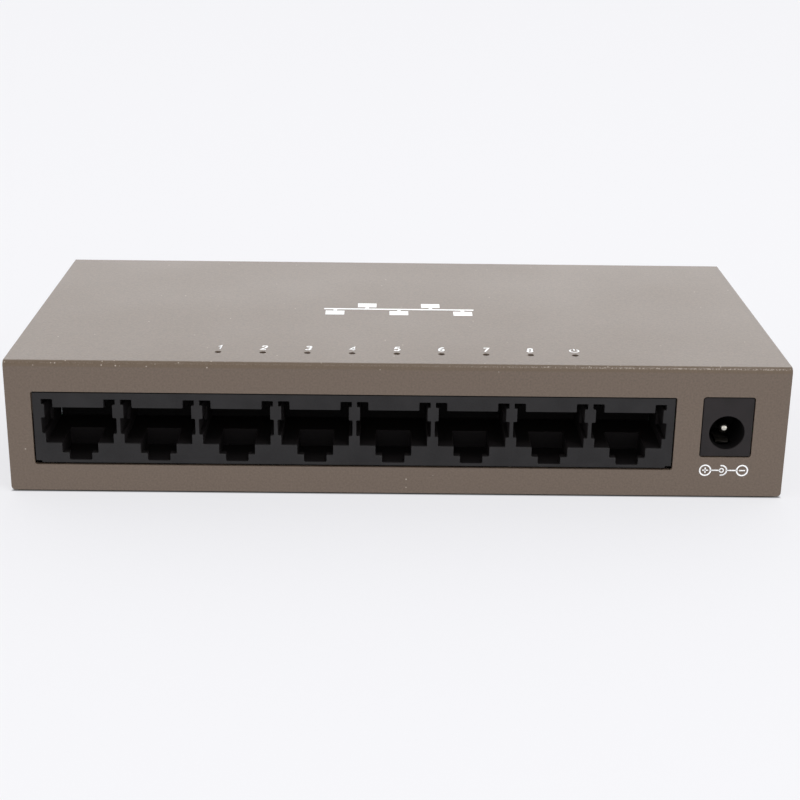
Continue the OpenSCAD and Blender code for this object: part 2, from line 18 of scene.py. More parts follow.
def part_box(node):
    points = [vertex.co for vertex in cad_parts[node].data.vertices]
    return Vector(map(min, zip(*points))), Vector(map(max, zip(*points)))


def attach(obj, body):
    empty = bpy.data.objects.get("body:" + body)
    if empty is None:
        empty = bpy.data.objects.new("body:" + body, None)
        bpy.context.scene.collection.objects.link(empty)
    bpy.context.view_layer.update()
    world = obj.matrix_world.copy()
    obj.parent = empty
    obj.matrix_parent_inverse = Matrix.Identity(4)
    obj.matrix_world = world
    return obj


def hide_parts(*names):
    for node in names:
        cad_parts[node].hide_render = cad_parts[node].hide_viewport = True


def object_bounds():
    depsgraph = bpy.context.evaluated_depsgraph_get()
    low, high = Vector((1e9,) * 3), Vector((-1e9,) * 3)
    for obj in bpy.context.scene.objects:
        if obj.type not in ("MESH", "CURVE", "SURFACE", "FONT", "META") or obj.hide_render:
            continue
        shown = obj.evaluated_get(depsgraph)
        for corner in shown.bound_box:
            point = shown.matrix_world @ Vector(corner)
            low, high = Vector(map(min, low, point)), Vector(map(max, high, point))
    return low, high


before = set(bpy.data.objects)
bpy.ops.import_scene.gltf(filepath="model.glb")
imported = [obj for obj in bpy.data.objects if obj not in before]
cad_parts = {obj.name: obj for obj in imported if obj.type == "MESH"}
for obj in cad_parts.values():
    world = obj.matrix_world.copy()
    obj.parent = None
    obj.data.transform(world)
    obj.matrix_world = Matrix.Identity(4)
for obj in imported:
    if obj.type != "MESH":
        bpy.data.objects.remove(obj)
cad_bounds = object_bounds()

LOG = logging.getLogger("network_switch")
MM = 0.001  # metres in a millimetre
PORTS = 8
ROOT = "switch"  # the body that holds all but the springs
SAME_POINT = 0.0005  # points that lie closer than this are one
SAME_PLANE = 0.5  # faces that meet at less than this many degrees are one flat face
STRIP_CORNER = 0.3  # how much a strip's corners are cut, as a share of half its thin side
NOISE = (0.3, 0.7)  # where most of a noise pattern's values lie
TWO_NOISES = (0.15, 0.38)  # where most values of two multiplied noises lie
CLOUD = 30.0  # how many grains wide a finish's broad clouds are

Node = bpy.types.Node
Socket = bpy.types.NodeSocket
Tree = bpy.types.NodeTree
Source = Node | Socket  # a node stands for its first output
Flat = tuple[float, float]


# --- Helpers ---


def colour(code: str) -> tuple[float, float, float, float]:
    """Turns an sRGB hex value into the linear colour that a shader takes.

    Args:
        code: The colour as "#RRGGBB".

    Returns:
        Linear red, green, blue and an alpha of 1.
    """
    parts = [int(code[i:i + 2], 16) / 255 for i in (1, 3, 5)]
    linear = [c / 12.92 if c <= 0.04045 else ((c + 0.055) / 1.055) ** 2.4 for c in parts]
    return (linear[0], linear[1], linear[2], 1.0)


def per_metre(size: float) -> float:
    """The scale that makes a pattern repeat about every so many millimetres."""
    return 1 / (size * MM)


def ends(side: str, pair: Flat, unit: float = 1.0) -> dict[str, float]:
    """Both ends of the "From" or the "To" side of a range, each times a unit."""
    return {f"{side} Min": pair[0] * unit, f"{side} Max": pair[1] * unit}


def add_node(tree: Tree, kind: str, sockets: dict | None = None, **settings: object) -> Node:
    """Adds one shader node.

    Args:
        tree: The node tree to add it to.
        kind: Blender's name for the node, without "ShaderNode".
        sockets: What goes into each input: another node, for its first output, an output, or a value.
        settings: The node's own options.

    Returns:
        The new node.
    """
    made = tree.nodes.new("ShaderNode" + kind)
    for name, value in settings.items():
        setattr(made, name, value)
    for key, value in (sockets or {}).items():
        if isinstance(value, Node):
            value = value.outputs[0]
        if isinstance(value, Socket):
            tree.links.new(value, made.inputs[key])
        else:
            made.inputs[key].default_value = value
    return made


def box(node: str) -> tuple[Vector, Vector]:
    """The lowest and highest corner of a CAD node, in millimetres."""
    low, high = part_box(node)
    return low / MM, high / MM


def islands(node: str) -> list[tuple[Vector, Vector]]:
    """The lowest and highest corner of each separate solid in a CAD node, in millimetres."""
    mesh = bmesh.new()
    mesh.from_mesh(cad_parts[node].data)
    bmesh.ops.transform(mesh, matrix=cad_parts[node].matrix_world, verts=mesh.verts[:])
    bmesh.ops.remove_doubles(mesh, verts=mesh.verts[:], dist=SAME_POINT * MM)
    found = []
    left = set(mesh.verts)
    while left:
        group, edge = set(), {left.pop()}
        while edge:
            group |= edge
            edge = {e.other_vert(v) for v in edge for e in v.link_edges} - group
        left -= group
        spots = [v.co / MM for v in group]
        found.append((Vector(min(p[k] for p in spots) for k in range(3)),
                      Vector(max(p[k] for p in spots) for k in range(3))))
    mesh.free()
    return sorted(found, key=lambda pair: (round(pair[0].x, 2), round(pair[0].y, 2)))


def rounded(corners: Sequence[Vector], radius: float, steps: int = 5) -> list[Vector]:
    """Turns a path's corners into smooth bends.

    Args:
        corners: The points of the path.
        radius: Bend radius, made smaller where two corners are close.
        steps: How many stretches make up one bend.

    Returns:
        The points of the smooth path.
    """
    most = 0.48  # the share of a stretch that one bend may take
    path = [corners[0]]
    for before, corner, after in zip(corners, corners[1:], corners[2:]):
        back, ahead = before - corner, after - corner
        reach = min(radius / math.tan(back.angle(ahead) / 2), most * back.length, most * ahead.length)
        start = corner + back.normalized() * reach
        end = corner + ahead.normalized() * reach
        for step in range(steps + 1):
            t = step / steps
            path.append(start * (1 - t) ** 2 + corner * 2 * t * (1 - t) + end * t ** 2)
    path.append(corners[-1])
    return path


# --- Finishes ---


class MixSocket:
    """Places of a Mix node's sockets when it mixes colours."""

    AMOUNT = 0
    FIRST = 6
    SECOND = 7
    RESULT = 2


@dataclass(frozen=True)
class Finish:
    """What a surface is made of and how it was made.

    Each kind of finish adds its own pattern in dress().
    """

    name: str
    slot: str | None
    tint: str
    shade: str
    roughness: float = 0.5
    spread: float = 0.08
    grain: float = 0.3
    relief: float = 0.004
    ior: float = 1.5
    metallic: float = 0.0

    def material(self) -> bpy.types.Material:
        """Makes the material the first time, and returns it."""
        made = bpy.data.materials.get(self.name)
        if made:
            return made
        made = bpy.data.materials.new(self.name)
        made.use_nodes = True
        tree = made.node_tree
        tree.nodes.clear()
        shader = add_node(tree, "BsdfPrincipled", {"Metallic": self.metallic})
        if not self.metallic:
            shader.inputs["IOR"].default_value = self.ior
        add_node(tree, "OutputMaterial", {"Surface": shader})
        place = add_node(tree, "TexCoord").outputs["Object"]
        self.dress(tree, shader, place)
        return made

    def dress(self, tree: Tree, shader: Node, place: Socket) -> None:
        """Adds the surface pattern.

        Args:
            tree: The material's node tree.
            shader: Its principled shader.
            place: The position in the frame, in metres.
        """
        fine = add_node(tree, "TexNoise", {"Vector": place, "Scale": per_metre(self.grain), "Detail": 3.0})
        broad = add_node(tree, "TexNoise", {"Vector": place, "Scale": per_metre(self.grain * CLOUD),
                                            "Detail": 2.0})
        both = add_node(tree, "Math", {0: fine, 1: broad}, operation="MULTIPLY")
        wide = add_node(tree, "MapRange", {"Value": both, **ends("From", TWO_NOISES)})
        self.paint(tree, shader, wide)
        self.polish(tree, shader, broad)
        self.raise_grain(tree, shader, fine, self.relief)

    def paint(self, tree: Tree, shader: Node, amount: Source) -> None:
        """Lets the colour wander from tint to shade."""
        mix = add_node(tree, "Mix", {MixSocket.AMOUNT: amount, MixSocket.FIRST: colour(self.tint),
                                     MixSocket.SECOND: colour(self.shade)}, data_type="RGBA")
        tree.links.new(mix.outputs[MixSocket.RESULT], shader.inputs["Base Color"])

    def lay_over(self, tree: Tree, shader: Node, amount: Source, code: str) -> None:
        """Covers the colour so far with another, as far as the amount says."""
        under = shader.inputs["Base Color"].links[0].from_socket
        mix = add_node(tree, "Mix", {MixSocket.AMOUNT: amount, MixSocket.FIRST: under,
                                     MixSocket.SECOND: colour(code)}, data_type="RGBA")
        tree.links.new(mix.outputs[MixSocket.RESULT], shader.inputs["Base Color"])

    def polish(self, tree: Tree, shader: Node, amount: Source) -> None:
        """Lets the roughness wander round its usual value."""
        limits = (self.roughness - self.spread, self.roughness + self.spread)
        spread = add_node(tree, "MapRange", {"Value": amount, **ends("From", NOISE), **ends("To", limits)})
        tree.links.new(spread.outputs["Result"], shader.inputs["Roughness"])

    def raise_grain(self, tree: Tree, shader: Node, height: Source, depth: float) -> None:
        """Turns a pattern into relief of this depth in millimetres."""
        bump = add_node(tree, "Bump", {"Height": height, "Distance": depth * MM, "Strength": 1.0})
        tree.links.new(bump.outputs["Normal"], shader.inputs["Normal"])


@dataclass(frozen=True)
class PowderCoat(Finish):
    """Polyester powder, sprayed on steel and baked: a low sheen over an even orange peel.

    The real grit is about 0.1 mm. It is drawn three times as coarse, so that it shows.
    """

    peel: float = 0.75  # width of the orange peel's waves
    peel_share: float = 0.55  # their height, where the grit's is 1
    drift: float = 25.0  # width of the patches that shine more or less
    speck: float = 0.8  # distance between places that may hold a pale grain
    speck_edge: Flat = (0.22, 0.08)  # a grain's outer and inner edge, in those distances
    # Colour of the pale grains of the coat, and of the painted glints on the fold.
    speck_and_glint_tint: str = "#AEA398"
    rare: float = 0.992  # the share of those places that hold none
    # The extra grains on the fold are painted glints.
    fold_glint_share: Flat = (0.15, 0.5)  # how much smaller that share is on the fold
    fold_glint_x: Flat = (-5.0, -60.0)
    fold: Flat = (1.1, 0.85)  # how near to the sharp corner the fold starts
    # The fold is painted darker and browner: painted shade on the bend.
    fold_shade_tint: str = "#5C4B37"
    fold_shade_amount: float = 0.5
    # A row of painted glints along the fold, set by the six values below.
    glint_row: Flat = (0.5, 0.1)  # the row of flecks, below the top
    glint_row_soft: float = 0.2
    glint_row_x: Flat = (5.0, 45.0)
    glint_row_share: Flat = (0.15, 0.85)
    glint_size: float = 0.24  # width of a fleck
    glint_edge: Flat = (0.48, 0.62)

    def on_fold(self, tree: Tree, place: Socket) -> Node:
        """Is 1 on the front fold, where shade and glints are painted, and 0 elsewhere."""
        low, high = box("top_cover")
        parts = add_node(tree, "SeparateXYZ", {"Vector": place}).outputs
        reach = add_node(tree, "Math", {0: parts["Z"], 1: parts["Y"]}, operation="SUBTRACT")
        limits = (high.z - low.y - self.fold[0], high.z - low.y - self.fold[1])
        return add_node(tree, "MapRange", {"Value": reach, **ends("From", limits, MM)})

    def rarity(self, tree: Tree, place: Socket, folded: Node) -> Node:
        """How rare the pale grains are: more of them show on the fold, most of all at the left, as painted
        glints.
        """
        across = add_node(tree, "SeparateXYZ", {"Vector": place}).outputs["X"]
        glinting = add_node(tree, "MapRange", {"Value": across, **ends("From", self.fold_glint_x, MM),
                                           **ends("To", self.fold_glint_share)})
        less = add_node(tree, "Math", {0: folded, 1: glinting}, operation="MULTIPLY")
        return add_node(tree, "Math", {0: self.rare, 1: less}, operation="SUBTRACT")

    def painted_glints(self, tree: Tree, place: Socket, folded: Node) -> Node:
        """Painted glints: a fine broken row of pale spots along the upper half of the fold, fuller towards
        the right.
        """
        top = box("top_cover")[1].z
        parts = add_node(tree, "SeparateXYZ", {"Vector": place}).outputs
        low, high = top - self.glint_row[0], top - self.glint_row[1]
        above = add_node(tree, "MapRange", {"Value": parts["Z"],
                                            **ends("From", (low, low + self.glint_row_soft), MM)})
        below = add_node(tree, "MapRange", {"Value": parts["Z"],
                                            **ends("From", (high, high - self.glint_row_soft), MM)})
        share = add_node(tree, "MapRange", {"Value": parts["X"], **ends("From", self.glint_row_x, MM),
                                            **ends("To", self.glint_row_share)})
        noise = add_node(tree, "TexNoise", {"Vector": place, "Scale": per_metre(self.glint_size), "Detail": 1.0})
        # Painted glints: the noise picks the spots of the row that light up.
        bare = add_node(tree, "MapRange", {"Value": noise, **ends("From", self.glint_edge)})
        amount = folded
        for factor in (above, below, share, bare):
            amount = add_node(tree, "Math", {0: amount, 1: factor}, operation="MULTIPLY")
        return amount

    def dress(self, tree: Tree, shader: Node, place: Socket) -> None:
        """Adds the orange peel, the fine grit, painted shade on the fold and the pale grains, with painted
        glints on the fold.
        """
        peel = add_node(tree, "TexNoise", {"Vector": place, "Scale": per_metre(self.peel), "Detail": 1.0})
        grit = add_node(tree, "TexNoise", {"Vector": place, "Scale": per_metre(self.grain), "Detail": 2.0})
        drift = add_node(tree, "TexNoise", {"Vector": place, "Scale": per_metre(self.drift), "Detail": 2.0})
        height = add_node(tree, "Math", {0: peel, 1: self.peel_share, 2: grit}, operation="MULTIPLY_ADD")
        self.raise_grain(tree, shader, height, self.relief)
        self.polish(tree, shader, drift)
        tone = add_node(tree, "MapRange", {"Value": grit, **ends("From", NOISE)})
        self.paint(tree, shader, tone)
        folded = self.on_fold(tree, place)
        # Painted shade: the fold turns towards the darker fold colour.
        fold_shade = add_node(tree, "Math", {0: folded, 1: self.fold_shade_amount}, operation="MULTIPLY")
        self.lay_over(tree, shader, fold_shade, self.fold_shade_tint)
        cells = add_node(tree, "TexVoronoi", {"Vector": place, "Scale": per_metre(self.speck)})
        dot = add_node(tree, "MapRange", {"Value": cells.outputs["Distance"],
                                          **ends("From", self.speck_edge)})
        choice = add_node(tree, "SeparateColor", {"Color": cells.outputs["Color"]})
        # On the fold more cells hold a pale grain: painted glints.
        few = add_node(tree, "Math", {0: choice.outputs["Red"], 1: self.rarity(tree, place, folded)},
                       operation="GREATER_THAN")
        grains = add_node(tree, "Math", {0: dot, 1: few}, operation="MULTIPLY")
        pale = add_node(tree, "Math", {0: grains, 1: self.painted_glints(tree, place, folded)}, operation="MAXIMUM")
        self.lay_over(tree, shader, pale, self.speck_and_glint_tint)


@dataclass(frozen=True)
class MouldedPlastic(Finish):
    """Injection-moulded plastic: the spark-eroded mould leaves an even, dull grain."""

    face: str | None = None  # the node whose front face it is
    # Behind the face the colour turns to painted shade and the surface gets duller.
    core: Flat = (0.15, 0.5)  # how far behind the face the core's surface starts
    cavity_shade_tint: str = "#0D0B0C"
    core_roughness: float = 0.75
    shine: float = 0.5

    def inside(self, tree: Tree) -> Node:
        """Is 0 on the face and 1 in what the mould's core shaped, where shade is painted."""
        front = box(self.face)[0].y
        place = add_node(tree, "TexCoord").outputs["Object"]
        depth = add_node(tree, "SeparateXYZ", {"Vector": place}).outputs["Y"]
        limits = (front + self.core[0], front + self.core[1])
        return add_node(tree, "MapRange", {"Value": depth, **ends("From", limits, MM)})

    def paint(self, tree: Tree, shader: Node, amount: Source) -> None:
        """Greys the face with the mould's grain, and paints what lies behind it near black, as shade in the
        cavities.
        """
        super().paint(tree, shader, amount)
        shader.inputs["Specular IOR Level"].default_value = self.shine
        # Painted shade: behind the face, the colour turns near black.
        if self.face:
            self.lay_over(tree, shader, self.inside(tree), self.cavity_shade_tint)

    def polish(self, tree: Tree, shader: Node, amount: Source) -> None:
        """Lets the roughness wander, and makes what the core shaped dull."""
        super().polish(tree, shader, amount)
        if self.face:
            usual = shader.inputs["Roughness"].links[0].from_socket
            dull = add_node(tree, "MapRange", {"Value": self.inside(tree), "To Min": usual,
                                               "To Max": self.core_roughness})
            tree.links.new(dull.outputs["Result"], shader.inputs["Roughness"])


@dataclass(frozen=True)
class DrawnMetal(Finish):
    """Rolled or drawn metal, plated: fine lines run along the part and soften its shine."""

    metallic: float = 1.0
    line: Flat = (0.25, 6.0)  # width and length of a line
    cloud: float = 3.0
    lines_along: Vector = field(default_factory=lambda: Vector((0, 1, 0)))

    def dress(self, tree: Tree, shader: Node, place: Socket) -> None:
        """Adds the rolling lines and a faint cloud of handling marks."""
        across = Vector((1, 1, 1)) / self.line[0]
        size = across + self.lines_along * (1 / self.line[1] - 1 / self.line[0])
        stretch = add_node(tree, "Mapping", {"Vector": place, "Scale": size / MM})
        lines = add_node(tree, "TexNoise", {"Vector": stretch.outputs["Vector"], "Scale": 1.0, "Detail": 2.0})
        cloud = add_node(tree, "TexNoise", {"Vector": place, "Scale": per_metre(self.cloud), "Detail": 3.0})
        tone = add_node(tree, "MapRange", {"Value": cloud, **ends("From", NOISE)})
        self.paint(tree, shader, tone)
        self.polish(tree, shader, lines)
        self.raise_grain(tree, shader, lines, self.relief)


@dataclass(frozen=True)
class ClearPlastic(Finish):
    """Clear acrylic, moulded: it carries light, with faint flow lines inside."""

    ior: float = 1.49

    def dress(self, tree: Tree, shader: Node, place: Socket) -> None:
        """Makes the part clear and adds the flow lines."""
        super().dress(tree, shader, place)
        shader.inputs["Transmission Weight"].default_value = 1.0


@dataclass(frozen=True)
class SolderMask(Finish):
    """Epoxy mask over copper: glossy green, lighter where a copper pour lies below it."""

    pour: float = 9.0  # distance between pours
    bare: float = 0.45  # the share of the board without one
    step: float = 0.7  # a pour's height, where the weave's is 1
    step_edge: Flat = (0.3, 1.4)

    def dress(self, tree: Tree, shader: Node, place: Socket) -> None:
        """Adds the copper pours, and the weave of the glass cloth below the mask."""
        patches = add_node(tree, "TexVoronoi", {"Vector": place, "Scale": per_metre(self.pour),
                                                "Randomness": 0.8}, distance="CHEBYCHEV")
        choice = add_node(tree, "SeparateColor", {"Color": patches.outputs["Color"]})
        copper = add_node(tree, "Math", {0: choice.outputs["Green"], 1: self.bare}, operation="GREATER_THAN")
        weave = add_node(tree, "TexNoise", {"Vector": place, "Scale": per_metre(self.grain), "Detail": 2.0})
        soft = add_node(tree, "Math", {0: copper, 1: self.step, 2: weave}, operation="MULTIPLY_ADD")
        tone = add_node(tree, "MapRange", {"Value": soft, **ends("From", self.step_edge)})
        self.paint(tree, shader, tone)
        self.polish(tree, shader, weave)
        self.raise_grain(tree, shader, soft, self.relief)


# The coat hides the steel: a warm grey-brown with a satin sheen, a little rough to the touch.
COVER_COAT = PowderCoat("powder_coated_steel_cover", "case_cover", "#6B5C50", "#5E5146",
                        roughness=0.46, spread=0.015, grain=0.35, relief=0.02)
TRAY_COAT = replace(COVER_COAT, name="powder_coated_steel_tray", slot="case_tray")
# Glass-filled polyester: black, and greyed by the grain of the mould. Behind the face it is painted near
# black, as shade in the cavities.
PORT_PLASTIC = MouldedPlastic("moulded_polyester_ports", "port_plastic", "#2A292A", "#232223",
                              roughness=0.35, spread=0.03, grain=0.14, relief=0.006, ior=1.45,
                              face="port_housing", cavity_shade_tint="#120F10", shine=0.2)
INSERT_PLASTIC = replace(PORT_PLASTIC, name="moulded_polyester_inserts", slot="insert_plastic",
                         tint="#0E0E0F", shade="#080809", relief=0.005, cavity_shade_tint="#0D0B0C")
JACK_PLASTIC = replace(PORT_PLASTIC, name="moulded_polyester_jack", slot="jack_plastic", tint="#292526",
                       shade="#222020", face="dc_jack_housing", cavity_shade_tint="#0D0B0C")
# Black polycarbonate keeps each lamp's light to itself: dull and even.
SHROUD_PLASTIC = MouldedPlastic("moulded_polycarbonate_shroud", "shroud_plastic", "#161617", "#0F0F10",
                                roughness=0.55, grain=0.2, relief=0.006, ior=1.58)
# Phosphor bronze wire under a thin gold plate: warm yellow, with fine lines from drawing.
GOLD_WIRE = DrawnMetal("gold_plated_bronze_wire", "gold_wire", "#E3B95C", "#CFA048",
                       roughness=0.24, spread=0.07, relief=0.001, line=(0.06, 2.5))
# Turned brass under nickel: a bright, slightly warm silver.
NICKEL_PIN = DrawnMetal("nickel_plated_brass_pin", "nickel_pin", "#D9D5CC", "#BDB9B0",
                        roughness=0.16, spread=0.05, relief=0.001, line=(0.08, 1.5))
# Stamped brass under tin: a cool, soft grey.
TIN_STRIP = DrawnMetal("tinned_brass_strip", "tinned_strip", "#CBCCCB", "#AEB0B0",
                       roughness=0.3, spread=0.08, relief=0.001, line=(0.08, 2.0))
# Spring steel, tinned: dull, and painted dark grey as shade, where it lies deep in the jack's barrel.
SHADED_LEAF = DrawnMetal("tinned_spring_leaf", "tinned_strip", "#5C5955", "#45433F", roughness=0.55, spread=0.06,
                  relief=0.002, line=(0.08, 2.0))
# Cold-headed steel under zinc: bluish silver, with short marks from rolling the thread.
ZINC_SCREW = DrawnMetal("zinc_plated_steel_screws", "plated_screw", "#C7CACC", "#A3A7AA",
                        roughness=0.3, spread=0.08, relief=0.002, line=(0.1, 0.6))
# Bare brass from the lathe: yellow, with fine rings.
BRASS = DrawnMetal("turned_brass_standoffs", "standoff", "#CDAE62", "#B39452",
                   roughness=0.28, spread=0.08, relief=0.002, line=(0.12, 1.5))
# Deep-drawn steel: smooth, with long faint streaks.
STEEL_CAN = DrawnMetal("drawn_steel_can", "can_steel", "#C9CBCD", "#A9ACAF",
                       roughness=0.26, spread=0.07, relief=0.002, line=(0.1, 4.0))
# Lead-free solder: silver, and a little wrinkled where it froze.
SOLDER = DrawnMetal("solder_fillets", "tinned_strip", "#C5C8CB", "#9FA3A7",
                    roughness=0.28, spread=0.1, relief=0.002, line=(0.2, 0.4))
# Copper alloy leads with a matt tin plate: soft and pale.
TIN_LEAD = DrawnMetal("matt_tin_plated_leads", "tinned_strip", "#C3C6C9", "#A6A9AC",
                      roughness=0.36, spread=0.06, relief=0.001, line=(0.08, 1.0))
# Pressed aluminium: pale silver, with fine lines.
ALUMINIUM = DrawnMetal("aluminium_can_top", "capacitor_sleeve", "#D2D4D6", "#BABDC0",
                       roughness=0.3, spread=0.06, relief=0.001, line=(0.1, 2.0))
# White epoxy ink, pressed through a mesh: dense and flat, a touch uneven.
INK = Finish("white_screen_ink", None, "#FFFFFF", "#F2F4F6", roughness=0.55, grain=0.25, relief=0.002)
# Calendered vinyl: an even, matt off-white, and grey ink that sinks in a little.
LABEL = Finish("matt_vinyl_label", "blank_label", "#E6E6E3", "#DCDCD9", roughness=0.45, grain=0.15,
               relief=0.002)
LABEL_INK = Finish("grey_label_ink", "blank_label", "#7B7D80", "#6C6E71", roughness=0.5, grain=0.2,
                   relief=0.001)
# Pressed polyester film: milky, with a soft sheen and long shallow waves.
FILM = Finish("polyester_film", "insulating_film", "#E8E3D2", "#DDD7C4", roughness=0.35, grain=1.2,
              relief=0.02, ior=1.57)
# Epoxy mask over copper: glossy dark green, in two tones. The glass weave below it hardly shows.
MASK = SolderMask("green_solder_mask", "solder_mask", "#174A30", "#1F6340", roughness=0.25, spread=0.06,
                  grain=0.5, relief=0.012)
# Moulded acrylic: clear, with polished ends.
ACRYLIC = ClearPlastic("clear_acrylic_guide", "clear_acrylic", "#F4F8F8", "#E9F0F0", roughness=0.08,
                       spread=0.03, grain=1.0, relief=0.002)
# Black moulding compound: silica grains make it dull and faintly mottled.
PACKAGE = Finish("epoxy_moulding_compound", "epoxy_package", "#1F1F20", "#151516", roughness=0.62,
                 spread=0.06, grain=0.12, relief=0.005, ior=1.55)
# Moulded nylon with white filler: a warm, soft white.
LED_BODY = Finish("white_led_package", "led_package", "#F1F0E4", "#E4E1CF", roughness=0.4, grain=0.2,
                  relief=0.002)
# Shrunk PVC: dark blue, smooth and fairly glossy.
SLEEVE = Finish("pvc_capacitor_sleeve", "capacitor_sleeve", "#202C55", "#182248", roughness=0.3,
                grain=0.6, relief=0.004, ior=1.53)
# Pressed and sintered powder: dark grey, dull and finely pitted.
FERRITE = Finish("sintered_ferrite", "ferrite", "#48494B", "#343537", roughness=0.6, grain=0.15,
                 relief=0.01)
# Glass epoxy laminate: translucent green that looks solid at this thickness.
FUSE = Finish("glass_epoxy_fuse", "fuse_body", "#2B6A44", "#215537", roughness=0.4, grain=0.3,
              relief=0.004)
# A disc dipped in blue epoxy: glossy, with slow waves from the dip.
DISC = Finish("epoxy_dipped_disc", "disc_coating", "#3A62A8", "#2F5291", roughness=0.3, grain=0.9,
              relief=0.02)
# Printed and fired glaze: black and glassy.
GLAZE = Finish("resistor_glaze", "resistor_glaze", "#17181A", "#0F1011", roughness=0.25, grain=0.25,
               relief=0.003)
# Fired ceramic: plain tan with a dull gleam.
CERAMIC = Finish("fired_ceramic", "ceramic_chip", "#B59B70", "#A2895F", roughness=0.45, grain=0.2,
                 relief=0.003)


# --- Shapes ---


class Axis(Enum):
    """The direction that an outline is pulled along, or that a turned part points."""

    X = 0
    Y = 1
    Z = 2

    def place(self, u: float, v: float, along: float) -> Vector:
        """The point at (u, v) of an outline, this far along the axis."""
        flat = [u, v]
        flat.insert(self.value, along)
        return Vector(flat)


def ease_edges(part: bpy.types.Object, width: float, segments: int = 2, angle: float = 34.0,
               join: bool = True) -> None:
    """Rounds a part's sharp edges a little, as tools and coats do, and smooths its shading.

    Args:
        part: The part.
        width: Width of the rounding in millimetres, or 0 to leave the edges.
        segments: How many faces go across an edge.
        angle: Edges sharper than this many degrees are rounded.
        join: Whether flat faces become one face first. A face with many holes has to stay split,
            and then its edges keep their full rounding too.
    """
    weld = part.modifiers.new("weld", "WELD")
    weld.merge_threshold = SAME_POINT * MM
    if join:
        flat = part.modifiers.new("join_flat_faces", "DECIMATE")
        flat.decimate_type = "DISSOLVE"
        flat.angle_limit = math.radians(SAME_PLANE)
    if width:
        bevel = part.modifiers.new("eased_edges", "BEVEL")
        bevel.limit_method = "ANGLE"
        bevel.angle_limit = math.radians(angle)
        bevel.width = width * MM
        bevel.segments = segments
        bevel.miter_outer = "MITER_ARC"
        bevel.use_clamp_overlap = join
    normals = part.modifiers.new("even_shading", "WEIGHTED_NORMAL")
    normals.keep_sharp = False


def dress_node(name: str, finish: Finish, edge: float = 0.0, segments: int = 2, join: bool = True) -> None:
    """Gives a CAD node its finish and eases its edges.

    Args:
        name: The node.
        finish: Its finish.
        edge: Width of its rounded edges in millimetres.
        segments: How many faces go across an edge.
        join: Whether its flat faces become one face first.
    """
    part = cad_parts[name]
    for slot in part.material_slots:
        slot.material = finish.material()
    ease_edges(part, edge, segments, join=join)
    LOG.info("%s: %s", name, finish.name)


class Shape:
    """A mesh in the making, in millimetres of the frame."""

    def __init__(self) -> None:
        """Starts with nothing in it."""
        self.mesh = bmesh.new()

    def skin(self, rings: Sequence[Sequence[Vector]], closed: bool = False) -> None:
        """Covers a row of rings that have equally many points.

        Args:
            rings: The rings, in order.
            closed: Whether the last ring meets the first. Otherwise both ends get a flat face.
        """
        rows = [[self.mesh.verts.new(point) for point in ring] for ring in rings]
        count = len(rows[0])
        for here, there in zip(rows, rows[1:] + (rows[:1] if closed else [])):
            for i in range(count):
                j = (i + 1) % count
                self.mesh.faces.new((here[i], here[j], there[j], there[i]))
        if not closed:
            self.mesh.faces.new(rows[0][::-1])
            self.mesh.faces.new(rows[-1])

    def prism(self, outline: Sequence[Flat], axis: Axis, start: float, stop: float) -> None:
        """Pulls a closed outline along an axis."""
        self.skin([[axis.place(u, v, along) for u, v in outline] for along in (start, stop)])

    def block(self, low: Sequence[float], high: Sequence[float]) -> None:
        """Adds a box between two corners."""
        outline = [(low[0], low[1]), (high[0], low[1]), (high[0], high[1]), (low[0], high[1])]
        self.prism(outline, Axis.Z, low[2], high[2])

    def turn(self, profile: Sequence[Flat], centre: Flat, axis: Axis, steps: int = 40) -> None:
        """Turns a profile about an axis.

        Args:
            profile: Radius and place along the axis of each ring.
            centre: Where the axis crosses the plane of the outline.
            axis: The axis.
            steps: How many sides a ring has.
        """
        angles = [2 * math.pi * i / steps for i in range(steps)]
        self.skin([[axis.place(centre[0] + r * math.cos(a), centre[1] + r * math.sin(a), along)
                    for a in angles] for r, along in profile])

    def strip(self, path: Sequence[Vector], side: Vector, width: float, thickness: float) -> None:
        """Sweeps a flat strip with eased corners along a path.

        Args:
            path: The middle line.
            side: The direction of its width, square to the path.
            width: Width of the strip.
            thickness: Thickness of the strip.
        """
        w, t = width / 2, thickness / 2
        c = STRIP_CORNER * min(w, t)
        section = [(w - c, -t), (w, -t + c), (w, t - c), (w - c, t),
                   (c - w, t), (-w, t - c), (-w, c - t), (c - w, -t)]
        rings = []
        for i, point in enumerate(path):
            ahead = path[min(i + 1, len(path) - 1)] - path[max(i - 1, 0)]
            face = ahead.normalized().cross(side)
            rings.append([point + side * u + face * v for u, v in section])
        self.skin(rings)

    def piece(self, name: str, finish: Finish, body: str = ROOT, edge: float = 0.0,
              replaces: Iterable[str] = ()) -> bpy.types.Object:
        """Turns the mesh into a piece that rides on a body.

        Args:
            name: Name of the piece.
            finish: Its finish.
            body: The body that it rides on.
            edge: Width of its rounded edges.
            replaces: The CAD nodes that it stands for.

        Returns:
            The piece.
        """
        bmesh.ops.recalc_face_normals(self.mesh, faces=self.mesh.faces[:])
        bmesh.ops.scale(self.mesh, vec=(MM, MM, MM), verts=self.mesh.verts[:])
        for face in self.mesh.faces:
            face.smooth = True
        data = bpy.data.meshes.new(name)
        self.mesh.to_mesh(data)
        self.mesh.free()
        data.materials.append(finish.material())
        made = bpy.data.objects.new(name, data)
        bpy.context.scene.collection.objects.link(made)
        ease_edges(made, edge)
        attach(made, body)
        for node in replaces:
            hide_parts(node)
        LOG.info("%s: %s, on %s", name, finish.name, body)
        return made


